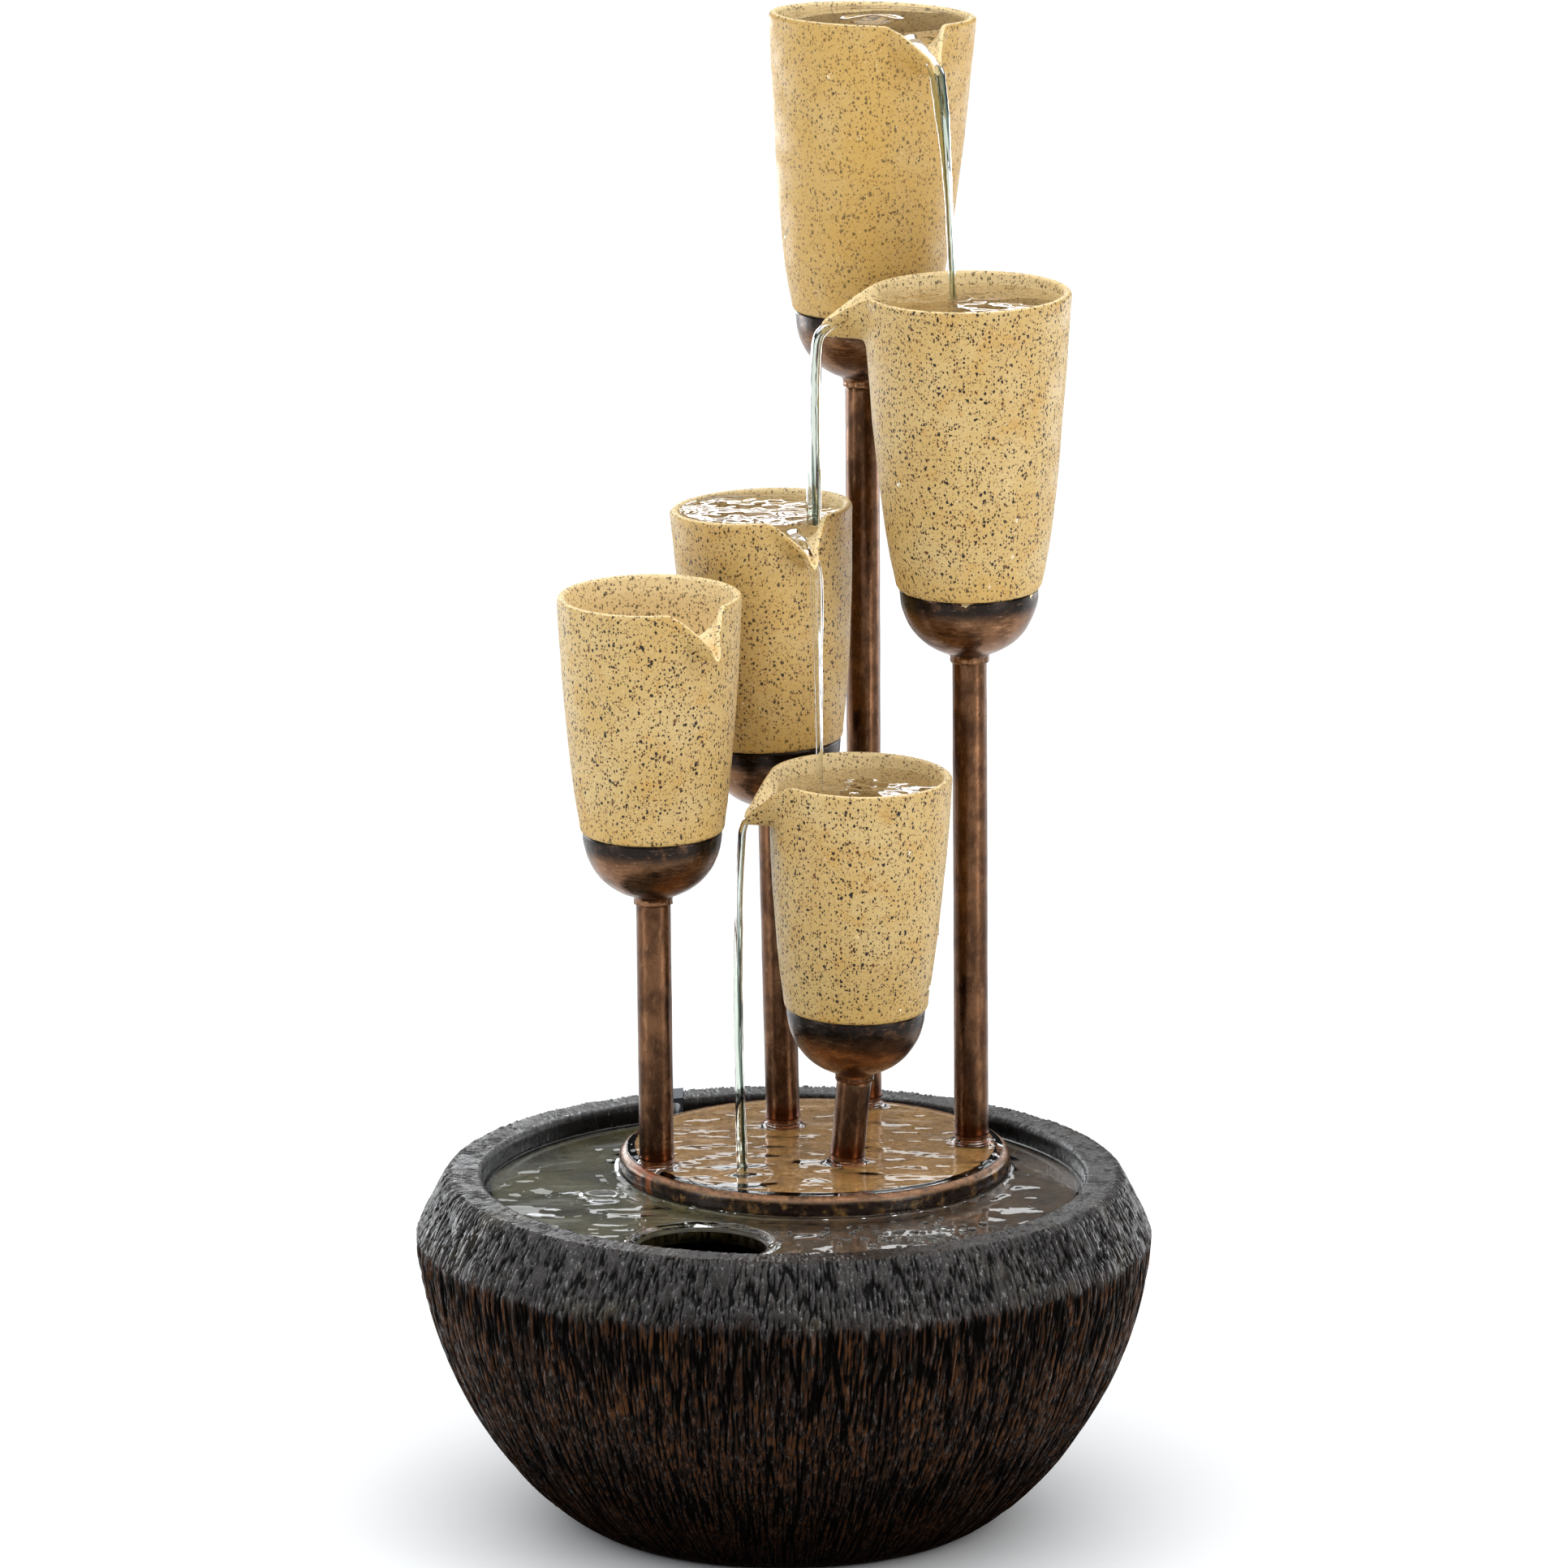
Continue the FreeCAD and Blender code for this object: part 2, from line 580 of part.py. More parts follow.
def make_pump_fittings():
    seat_z = PUMP_AXIS_Z + CHAMBER_R
    nipple = tube(OUTLET_R, OUTLET_BORE_R, OUTLET_TOP_Z - seat_z, V(*OUTLET, seat_z))
    export("pump_outlet_nipple", nipple)
    cups = []
    for x in (PUMP_X0 + 7.0, PUMP_X2 - 9.0):
        for y in (PUMP_Y - 12.0, PUMP_Y + 12.0):
            cups.append(Part.makeCone(6.5, 3.0, PUMP_Z0 - FLOOR_Z, V(x, y, FLOOR_Z), UP))
    export("pump_suction_feet", group(cups))


# --- hose ---

def hose_path():
    """Up from the outlet, over in one lean, and up into the first spigot's tail."""
    tier = TIERS[FED_TIER - 1]
    low = V(*OUTLET, HOSE_BOTTOM_Z)
    high = V(tier["foot"][0], tier["foot"][1], PLATE_TOP_Z - TAIL_L + 1.5)
    lower_bend = low + UP * HOSE_RISE
    upper_bend = high - UP * HOSE_RISE
    slope = (upper_bend - lower_bend).normalize()
    turn = slope.getAngle(UP)
    setback = HOSE_BEND_R * math.tan(turn / 2)
    edges = []
    start = low
    for corner, into, out in ((lower_bend, UP, slope), (upper_bend, slope, UP)):
        arc_start = corner - into * setback
        arc_end = corner + out * setback
        bisector = (out - into).normalize()
        mid = corner + bisector * (HOSE_BEND_R / math.cos(turn / 2) - HOSE_BEND_R)
        edges.append(Part.LineSegment(start, arc_start).toShape())
        edges.append(Part.Arc(arc_start, mid, arc_end).toShape())
        start = arc_end
    edges.append(Part.LineSegment(start, high).toShape())
    return Part.Wire(edges), low, high


def make_hose():
    path, low, high = hose_path()
    rings = []
    for radius in (HOSE_R, HOSE_BORE_R):
        ring = Part.Wire(Part.makeCircle(radius, low, UP))
        rings.append(path.makePipeShell([ring], True, False))
    hose = rings[0].cut(rings[1])
    print("hose length", round(path.Length, 1), "bend", HOSE_BEND_R)
    export("supply_hose", hose)
    export("hose_clamp", tube(HOSE_R + CLAMP_T, HOSE_R, 7.0, high - UP * 9.0))


def main():
    os.makedirs("parts", exist_ok=True)
    make_basin()
    make_deck()
    make_plate()
    make_spigot_seals()
    make_spigot_fastenings()
    for number, tier in enumerate(TIERS, start=1):
        make_spigot(number, tier)
        make_pole(number, tier)
        make_cradle(number, tier)
        make_cup(number, tier)
    make_inlet_nozzle()
    make_pump_housing()
    make_pump_coil()
    make_pump_back()
    make_pump_rotor()
    make_chamber_cover()
    make_intake_cover()
    make_flow_dial()
    make_pump_fittings()
    make_hose()


main()
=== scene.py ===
import json
import math

import bpy
import numpy as np
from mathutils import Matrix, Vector


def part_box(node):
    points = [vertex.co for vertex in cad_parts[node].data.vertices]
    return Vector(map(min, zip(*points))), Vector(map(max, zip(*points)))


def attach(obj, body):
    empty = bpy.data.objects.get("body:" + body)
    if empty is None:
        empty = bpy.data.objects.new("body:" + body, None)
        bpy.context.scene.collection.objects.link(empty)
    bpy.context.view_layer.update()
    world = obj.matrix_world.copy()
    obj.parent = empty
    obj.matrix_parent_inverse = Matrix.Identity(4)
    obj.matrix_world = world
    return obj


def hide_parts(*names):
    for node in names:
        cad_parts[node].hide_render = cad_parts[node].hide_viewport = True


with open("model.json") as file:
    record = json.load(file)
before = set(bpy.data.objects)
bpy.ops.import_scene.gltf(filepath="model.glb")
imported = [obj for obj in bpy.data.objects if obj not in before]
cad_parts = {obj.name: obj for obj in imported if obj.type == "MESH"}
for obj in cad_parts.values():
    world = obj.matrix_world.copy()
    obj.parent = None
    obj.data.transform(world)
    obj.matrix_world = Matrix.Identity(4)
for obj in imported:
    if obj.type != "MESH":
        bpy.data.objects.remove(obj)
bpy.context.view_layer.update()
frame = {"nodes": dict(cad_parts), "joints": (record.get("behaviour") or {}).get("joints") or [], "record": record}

# Looks of the tiered water fountain. Builders work in millimetres in the CAD frame, and add() turns
# them into metres. Every mesh is made where it stands, so object coordinates are row coordinates.

MM = 0.001
TAU = 2 * math.pi
UP = np.array([0.0, 0.0, 1.0])
JOINTS = {joint["name"]: joint for joint in frame["joints"]}

# --- the basin, as in the CAD ---
BASE_R = 110.0
WALL = [(BASE_R, 0), (138.2, 11.2), (195.0, 70.3), (203.2, 160.2)]
CREASE = WALL[-1]
RIM_Z = 194.0
RIM_OUTER_R = 186.4
RIM_INNER_R = 165.6
HOLLOW = [(188.0, 134.0), (183.0, 70.0), (139.0, 22.0), (112.0, 10.0)]
UNDERCUT_Z = 168.0
NOTCH_X, NOTCH_W, NOTCH_DEPTH = -61.5, 9.0, 12.0
LUGS = {"count": 6, "first": 42.8, "inner": 150.2, "width": 24.0, "top": 172.0, "height": 14.0}

# --- deck, plate and feet ---
DECK_BOTTOM = LUGS["top"]
DECK_TOP = 180.0
RETURN_HOLE = np.array([-44.4, -103.2])
RETURN_HOLE_R = 35.2
DIMPLE = (-100.0, -8.0)
PLATE_CENTRE = np.array([17.0, 53.5])
PLATE_R = 108.5
PLATE_TOP = 193.0
PLATE_BEAD = 5.0
TAIL_HOLE_R = 5.3
COLLAR_R = 8.7
FOOT_GAP = 4.5
POLE_R = 9.5
POLE_BORE_R = 8.0

# --- cradles and cups ---
CRADLE_H = 39.4
CRADLE_WALL = 2.3
CUP_WALL = 6.0
LIP_T = 4.9
LIP_DROP = LIP_T / 2 + 0.1
FOOT_R = 39.3
BOWL_DEPTH = 30.0
SPOUT_HALF_W = 18.5
INLET_R = 6.25
CUPS = {
    "large": {"wall": [(FOOT_R, 0), (47.5, 22), (52.5, 90), (57.75, 165.5)], "reach": 20.0},
    "small": {"wall": [(FOOT_R, 0), (44.5, 27), (48.5, 75), (51.0, 131.5)], "reach": 11.5},
}
# lean: degrees to the right and to the front. spout: heading from the front towards the right.
# level: the water's depth below the rim, none in the dry cup. chop: how high its ripples are.
# golden: how warm its glaze is.
TIERS = [
    {"cup": "large", "lean": (1.5, -1.7), "spout": 26.0, "level": 3.5, "chop": 0.12, "golden": 0.85},
    {"cup": "large", "lean": (-0.7, 1.8), "spout": -92.0, "level": 5.0, "chop": 1.0},
    {"cup": "small", "lean": (-2.6, 0.2), "spout": 26.0, "level": 2.2, "chop": 1.3, "golden": 0.35},
    {"cup": "small", "lean": (-0.6, 1.7), "spout": 35.0, "level": None},
    {"cup": "small", "lean": (0.9, 1.8), "spout": -74.0, "level": 6.5, "chop": 1.0},
]


# ---------------------------------------------------------------- numbers

PRIMES = (73856093, 19349663, 83492791, 668265263)
GRADIENTS = np.random.default_rng(7).normal(size=(256, 3))
GRADIENTS /= np.linalg.norm(GRADIENTS, axis=1)[:, None]


def noise(x, y, z, seed=0):
    """Smooth gradient noise from about -1 to 1."""
    point = np.stack(np.broadcast_arrays(x, y, z), -1).astype(float)
    cell = np.floor(point).astype(np.int64)
    part = point - cell
    ease = part * part * part * (part * (part * 6 - 15) + 10)
    total = np.zeros(point.shape[:-1])
    for corner in np.ndindex(2, 2, 2):
        at = cell + corner
        key = at[..., 0] * PRIMES[0] ^ at[..., 1] * PRIMES[1] ^ at[..., 2] * PRIMES[2] ^ seed * PRIMES[3]
        key = (key ^ (key >> 13)) * 1274126177
        slope = GRADIENTS[(key ^ (key >> 16)) & 255]
        share = np.prod(np.where(corner, ease, 1 - ease), axis=-1)
        total += share * np.sum(slope * (part - corner), axis=-1)
    return 1.6 * total


def ramp(low, high, value):
    """0 below low, 1 above high, and smooth between them."""
    t = np.clip((value - low) / (high - low), 0, 1)
    return t * t * (3 - 2 * t)


def hump(distance, width):
    """1 on a line, dying away on both sides of it."""
    return np.exp(-(distance / width) ** 2)


def fade(distance, reach):
    """1 up to a border, dying away beyond it."""
    return np.exp(-np.maximum(distance, 0) / reach)


def apart(x, y, point):
    """How far each (x, y) is from a point, seen from above."""
    return np.hypot(x - point[0], y - point[1])


def dice(i, j, seed):
    """Three random numbers from 0 to 1 for each whole-number place."""
    key = (i * PRIMES[0]) ^ (j * PRIMES[1]) ^ (seed * PRIMES[2])
    out = []
    for salt in (0x9E3779B1, 0x85EBCA6B, 0xC2B2AE35):
        mixed = ((key + salt) ^ ((key + salt) >> 15)) * 0x2C1B3C6D & 0xFFFFFFFF
        mixed = (mixed ^ (mixed >> 12)) * 0x297A2D39 & 0xFFFFFFFF
        out.append(((mixed ^ (mixed >> 15)) & 0xFFFFFF) / float(1 << 24))
    return out


def strips(u, v, around, seed):
    """Long cells round a ring of so many: how far the nearest edge is, and the cell's random numbers."""
    i, j = np.floor(u).astype(np.int64), np.floor(v).astype(np.int64)
    best = np.full(u.shape, 1e9)
    second = np.full(u.shape, 1e9)
    across = np.zeros(u.shape)
    key = np.zeros(u.shape)
    for di in (-1, 0, 1):
        for dj in (-1, 0, 1):
            a, b, c = dice((i + di) % around, j + dj, seed)
            du = u - (i + di + 0.5 + 0.8 * (a - 0.5))
            away = np.hypot(du, v - (j + dj + 0.5 + 0.9 * (b - 0.5)))
            closer = away < best
            second = np.where(closer, best, np.minimum(second, away))
            across = np.where(closer, du, across)
            key = np.where(closer, c, key)
            best = np.where(closer, away, best)
    return second - best, key, across


def bezier(points, count):
    """A cubic curve through its first and last points."""
    t = np.linspace(0, 1, count)[:, None]
    a, b, c, d = (np.array(p, float) for p in points)
    return (1 - t) ** 3 * a + 3 * (1 - t) ** 2 * t * b + 3 * (1 - t) * t * t * c + t ** 3 * d


def even(points, pitch):
    """The same line with points about pitch apart."""
    points = np.array(points, float)
    along = np.r_[0, np.cumsum(np.linalg.norm(np.diff(points, axis=0), axis=1))]
    count = max(2, int(round(along[-1] / pitch)) + 1)
    at = np.linspace(0, along[-1], count)
    return np.stack([np.interp(at, along, points[:, i]) for i in range(points.shape[1])], -1)


def arc(centre, radius, start, end, count):
    turn = np.radians(np.linspace(start, end, count))
    return np.stack([centre[0] + radius * np.cos(turn), centre[1] + radius * np.sin(turn)], -1)


# ---------------------------------------------------------------- meshes

def turned(profile, columns):
    """Rings of a profile of (radius, height) turned about Z."""
    angle = np.arange(columns) * TAU / columns
    profile = np.asarray(profile, float)
    radius, height = profile[:, :1], profile[:, 1:]
    return np.stack([radius * np.cos(angle), radius * np.sin(angle), height + 0 * angle], -1)


def placed(points, origin, axis, turn=0.0):
    """Points from an upright frame to one at origin whose +Z lies along axis."""
    spin = Vector((0, 0, 1)).rotation_difference(Vector(axis)).to_matrix().to_4x4()
    matrix = np.array(spin)[:3, :3]
    c, s = math.cos(math.radians(turn)), math.sin(math.radians(turn))
    matrix = matrix @ np.array([[c, -s, 0], [s, c, 0], [0, 0, 1]])
    return points @ matrix.T + np.asarray(origin, float)


def shell(rings, loop=False):
    """Vertices and faces of a closed skin over rings; its ends are capped, or joined if loop."""
    rows, columns = rings.shape[:2]
    index = np.arange(rows * columns).reshape(rows, columns)
    low = index if loop else index[:-1]
    high = np.roll(index, -1, 0) if loop else index[1:]
    quads = np.stack([low, np.roll(low, -1, 1), np.roll(high, -1, 1), high], -1).reshape(-1, 4)
    vertices = rings.reshape(-1, 3)
    if loop:
        return vertices, quads.tolist()
    first, last = len(vertices), len(vertices) + 1
    vertices = np.vstack([vertices, rings[0].mean(0), rings[-1].mean(0)])
    fans = [[first, b, a] for a, b in zip(index[0], np.roll(index[0], -1))]
    fans += [[last, a, b] for a, b in zip(index[-1], np.roll(index[-1], -1))]
    return vertices, quads.tolist() + [[int(i) for i in fan] for fan in fans]


def add(name, mesh_data, material, body, replaces=(), values=None):
    """Make a piece from vertices and faces in millimetres, with a value per vertex for each name."""
    vertices, faces = mesh_data
    mesh = bpy.data.meshes.new(name)
    mesh.from_pydata((np.asarray(vertices) * MM).tolist(), [], faces)
    for key, data in (values or {}).items():
        attribute = mesh.attributes.new(key, "FLOAT", "POINT")
        data = np.ravel(data)
        data = np.r_[data, np.full(len(vertices) - len(data), data[-1])]
        attribute.data.foreach_set("value", data.astype(np.float32))
    mesh.shade_smooth()
    mesh.materials.append(material)
    piece = bpy.data.objects.new(name, mesh)
    bpy.context.scene.collection.objects.link(piece)
    if body:
        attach(piece, body)
    if replaces:
        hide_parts(*replaces)
    return piece


def add_water(name, mesh_data, material, body, values=None):
    """A piece of clear water, which casts no shadow."""
    piece = add(name, mesh_data, material, body, values=values)
    piece.visible_shadow = False
    return piece


def push_out(rings, radius, *amounts):
    """Move points away from the Z axis by the product of the amounts."""
    shift = rings[..., :2] / np.asarray(radius)[..., None]
    for amount in amounts:
        shift = shift * amount[..., None]
    rings[..., :2] += shift


def join(parts):
    """One mesh from several lists of vertices and faces."""
    vertices, faces, start = [], [], 0
    for points, polygons in parts:
        vertices.append(points)
        faces += [[start + i for i in polygon] for polygon in polygons]
        start += len(points)
    return np.vstack(vertices), faces


def settle(piece):
    """Apply a piece's modifiers."""
    bpy.context.view_layer.update()
    graph = bpy.context.evaluated_depsgraph_get()
    mesh = bpy.data.meshes.new_from_object(piece.evaluated_get(graph))
    piece.modifiers.clear()
    piece.data = mesh


def carve(piece, mesh_data):
    """Cut a closed form out of a piece."""
    cutter = add("cutter", mesh_data, piece.data.materials[0], None)
    modifier = piece.modifiers.new("carve", "BOOLEAN")
    modifier.object = cutter
    modifier.operation = "DIFFERENCE"
    modifier.solver = "MANIFOLD"
    settle(piece)
    bpy.data.objects.remove(cutter)


def drum(radius, z0, z1, centre=(0, 0), columns=96):
    """A plain upright cylinder, for cutting."""
    rings = turned([(radius, z0), (radius, z1)], columns)
    return shell(rings + np.array([centre[0], centre[1], 0]))


def block(low, high):
    """A plain box, for cutting."""
    x0, y0, z0 = low
    x1, y1, z1 = high
    ring = [(x0, y0), (x1, y0), (x1, y1), (x0, y1)]
    return shell(np.array([[(x, y, z) for x, y in ring] for z in (z0, z1)], float))


# ---------------------------------------------------------------- materials

def make_node(tree, kind, inputs=None, **settings):
    """Add a shader node; an input is a value, or a socket to link from."""
    node = tree.nodes.new("ShaderNode" + kind)
    for key, value in settings.items():
        setattr(node, key, value)
    for key, value in (inputs or {}).items():
        socket = node.inputs[key]
        if isinstance(value, bpy.types.NodeSocket):
            tree.links.new(value, socket)
        else:
            socket.default_value = value
    return node


CLEAR = (0.97, 0.98, 0.96)
CLEAR_WATER = {"IOR": 1.333, "Roughness": 0.0, "Transmission_Weight": 1.0}


class Shader:
    """A material with one Principled shader and short names for the nodes used here."""

    def __init__(self, name, **constants):
        self.material = bpy.data.materials.new(name)
        self.material.use_nodes = True
        self.tree = self.material.node_tree
        self.surface = self.tree.nodes["Principled BSDF"]
        self.place = self.node("TexCoord").outputs["Object"]
        for key, value in constants.items():
            self.surface.inputs[key.replace("_", " ")].default_value = value

    def node(self, kind, inputs=None, **settings):
        return make_node(self.tree, kind, inputs, **settings)

    def scaled(self, scale):
        """Coordinates stretched by a scale per axis, in features per millimetre."""
        per_metre = [1000.0 * s for s in scale]
        return self.node("VectorMath", {0: self.place, 1: per_metre}, operation="MULTIPLY").outputs["Vector"]

    def noise(self, size, detail=4.0, rough=0.55, warp=0.0, stretch=(1, 1, 1)):
        """Noise from 0 to 1 with features about size millimetres across."""
        vector = self.scaled([1.0 / (size * s) for s in stretch])
        inputs = {"Vector": vector, "Scale": 1.0, "Detail": detail, "Roughness": rough, "Distortion": warp}
        return self.node("TexNoise", inputs).outputs["Fac"]

    def cells(self, size, warp=0.0, stretch=(1, 1, 1)):
        """Voronoi cells about size millimetres across: distance to the middle, and a random colour."""
        vector = self.scaled([1.0 / (size * s) for s in stretch])
        if warp:
            shift = self.node("TexNoise", {"Vector": vector, "Scale": 1.7, "Detail": 2.0}).outputs["Color"]
            amount = self.node("VectorMath", {0: shift, "Scale": warp}, operation="SCALE").outputs["Vector"]
            vector = self.node("VectorMath", {0: vector, 1: amount}).outputs["Vector"]
        node = self.node("TexVoronoi", {"Vector": vector, "Scale": 1.0})
        return node.outputs["Distance"], node.outputs["Color"]

    def value(self, name):
        return self.node("Attribute", attribute_name=name).outputs["Fac"]

    def math(self, operation, *values):
        return self.node("Math", dict(enumerate(values)), operation=operation).outputs[0]

    def times(self, first, second):
        return self.math("MULTIPLY", first, second)

    def plus(self, first, second):
        return self.math("ADD", first, second)

    def minus(self, first, second):
        return self.math("SUBTRACT", first, second)

    def ramp(self, value, low, high, to_low=0.0, to_high=1.0):
        inputs = {"Value": value, "From Min": low, "From Max": high, "To Min": to_low, "To Max": to_high}
        return self.node("MapRange", inputs, interpolation_type="SMOOTHSTEP").outputs["Result"]

    def mix(self, share, first, second):
        """A share from 0 to 1 of the second colour over the first; a colour is a socket or three numbers."""
        pair = [c if isinstance(c, bpy.types.NodeSocket) else (*c, 1.0) for c in (first, second)]
        return self.node("Mix", {0: share, 6: pair[0], 7: pair[1]}, data_type="RGBA").outputs[2]

    def bump(self, height, depth, strength=1.0):
        """Relief whose height of 1 stands for depth millimetres."""
        inputs = {"Height": height, "Distance": depth * MM, "Strength": strength}
        return self.node("Bump", inputs).outputs["Normal"]

    def finish(self, **sockets):
        """Link sockets to the surface's inputs and give the material."""
        for key, value in sockets.items():
            self.tree.links.new(value, self.surface.inputs[key.replace("_", " ")])
        return self.material


def speckled_ware():
    """Sandy glaze over a stoneware body full of dark iron specks of many sizes, with painted light inside the cup
    and a paler lip.
    """
    s = Shader("speckled_ware", IOR=1.5, Specular_IOR_Level=0.35)
    sand = s.noise(0.9, 5.0, 0.75)
    colour = s.mix(s.ramp(s.noise(34.0, 3.0), 0.35, 0.68), (0.64, 0.440, 0.150), (0.70, 0.520, 0.220))
    colour = s.mix(s.ramp(s.noise(13.0, 4.0), 0.52, 0.74, 0.0, 0.7), colour, (0.62, 0.350, 0.075))
    colour = s.mix(s.ramp(sand, 0.32, 0.72), s.mix(0.5, colour, (0.36, 0.20, 0.07)), colour)
    golden = s.times(s.value("golden"), s.ramp(s.noise(22.0, 3.0), 0.25, 0.65, 0.55, 1.0))
    colour = s.mix(golden, colour, (0.58, 0.350, 0.085))
    # The inside of the cup is painted brighter, as painted light for the sky that lights it; the top of the lip
    # takes the glaze's paler colour. Specks are weaker there.
    inside = s.value("inner")
    colour = s.mix(s.times(inside, 0.92), colour, (0.95, 0.740, 0.390))
    strength = s.times(s.ramp(golden, 0.0, 1.0, 1.0, 0.60), s.ramp(inside, 0.0, 1.0, 1.0, 0.75))
    colour = s.mix(s.ramp(s.noise(1.6, 3.0), 0.60, 0.80), colour, (0.70, 0.58, 0.36))
    ragged = s.times(s.minus(s.noise(0.55, 3.0, 0.7), 0.5), 0.30)
    layers = [
        (0.90, (1, 1, 1.3), 0.60, 0.52, (0.200, 0.080, 0.022)),
        (1.25, (1, 1.2, 1.4), 0.60, 0.54, (0.045, 0.020, 0.008)),
        (1.9, (1.2, 1, 1.4), 0.52, 0.46, (0.018, 0.009, 0.005)),
        (2.9, (1, 1, 1.3), 0.30, 0.38, (0.120, 0.036, 0.008)),
        (4.2, (1, 1.2, 1.5), 0.24, 0.34, (0.010, 0.006, 0.004)),
    ]
    pits = None
    for size, stretch, share, reach, tint in layers:
        distance, key = s.cells(size, 0.55, stretch)
        chance = s.node("SeparateColor", {"Color": key}).outputs["Red"]
        edge = s.ramp(chance, 1.0 - share, 1.15, 0.0, reach)
        here = s.math("GREATER_THAN", chance, 1.0 - share)
        spot = s.ramp(s.minus(s.plus(distance, ragged), edge), -0.02, 0.05, 1.0, 0.0)
        spot = s.times(s.times(spot, here), strength)
        colour = s.mix(spot, colour, tint)
        pits = spot if pits is None else s.math("MAXIMUM", pits, spot)
    relief = s.minus(sand, s.times(pits, 0.7))
    rough = s.ramp(s.noise(18.0, 3.0), 0.3, 0.7, 0.38, 0.60)
    return s.finish(Base_Color=colour, Roughness=rough, Normal=s.bump(relief, 0.14, 0.9))


def copper(name, stretch, dark, bright, tint=(0.150, 0.072, 0.036), metallic=1.0):
    """Dark brown patina on copper, brushed, mottled, and rubbed bright in places."""
    s = Shader(name, Metallic=metallic)
    streak = s.noise(1.5, 6.0, 0.65, 0.2, stretch)
    blotch = s.noise(16.0, 5.0, 0.6, 0.3)
    grain = s.noise(0.6, 3.0, 0.6)
    colour = s.mix(s.ramp(blotch, 0.30, 0.70), dark, tint)
    colour = s.mix(s.ramp(streak, 0.48, 0.80), colour, bright)
    colour = s.mix(s.ramp(s.noise(4.0, 6.0, 0.7, 0.5), 0.57, 0.72, 0.0, 0.8), colour, (0.028, 0.017, 0.012))
    colour = s.mix(s.ramp(grain, 0.58, 0.80, 0.0, 0.8), colour, (0.020, 0.012, 0.009))
    rough = s.plus(s.ramp(streak, 0.3, 0.7, 0.20, 0.32), s.ramp(blotch, 0.4, 0.7, 0.06, -0.03))
    relief = s.plus(s.times(streak, 0.6), s.times(grain, 0.5))
    return s, colour, rough, s.bump(relief, 0.12, 0.6)


def pole_copper():
    """Vertical brushing, and rust near the foot."""
    s, colour, rough, relief = copper("pole_copper", (2, 2, 6), (0.060, 0.029, 0.016), (0.24, 0.125, 0.066))
    rust = s.ramp(s.plus(s.value("foot"), s.times(s.noise(3.0, 4.0), 0.5)), 0.75, 1.2)
    colour = s.mix(rust, colour, (0.075, 0.020, 0.006))
    return s.finish(Base_Color=colour, Roughness=rough, Normal=relief)


def cradle_copper():
    """As the poles, with a black band painted under the cup as shade and dark reflection, scratches, and cream
    drips on it.
    """
    s, colour, rough, relief = copper("cradle_copper", (5, 5, 1), (0.090, 0.043, 0.021), (0.42, 0.23, 0.120),
                                      (0.230, 0.115, 0.058))
    # The black band under the cup is painted shade and a painted dark reflection.
    band = s.times(s.value("band"), s.ramp(s.noise(7.0, 5.0, 0.7), 0.15, 0.50))
    colour = s.mix(band, colour, (0.022, 0.017, 0.015))
    scratch = s.ramp(s.noise(0.9, 4.0, 0.7, 0.4, (7, 7, 1)), 0.60, 0.72)
    colour = s.mix(s.times(scratch, 0.45), colour, (0.42, 0.28, 0.19))
    drip = s.ramp(s.plus(s.value("drip"), s.times(s.noise(2.5, 3.0), 0.5)), 0.95, 1.05)
    colour = s.mix(drip, colour, (0.50, 0.38, 0.20))
    return s.finish(Base_Color=colour, Roughness=rough, Normal=relief)


def plate_copper():
    """Golden-brown plate with painted highlights on its dark brown bead, painted shade at its side, and rust round
    the feet.
    """
    s, colour, rough, relief = copper("plate_copper", (3, 3, 1), (0.30, 0.150, 0.040), (0.66, 0.38, 0.13),
                                      (0.50, 0.270, 0.085), 0.30)
    # Orange spots along the bead are painted highlights.
    bead = s.times(s.value("bead"), s.ramp(s.noise(5.0, 5.0, 0.7), 0.34, 0.62))
    colour = s.mix(s.value("bead"), colour, (0.075, 0.033, 0.014))
    colour = s.mix(bead, colour, (0.30, 0.140, 0.060))
    # The side is painted near-black: painted shade.
    side = s.times(s.value("side"), s.ramp(s.noise(7.0, 5.0, 0.65), 0.20, 0.50))
    colour = s.mix(side, colour, (0.015, 0.0065, 0.0035))
    rust = s.ramp(s.plus(s.value("rust"), s.times(s.noise(4.0, 4.0), 0.6)), 0.62, 1.0)
    colour = s.mix(rust, colour, (0.26, 0.065, 0.012))
    return s.finish(Base_Color=colour, Roughness=rough, Normal=relief)


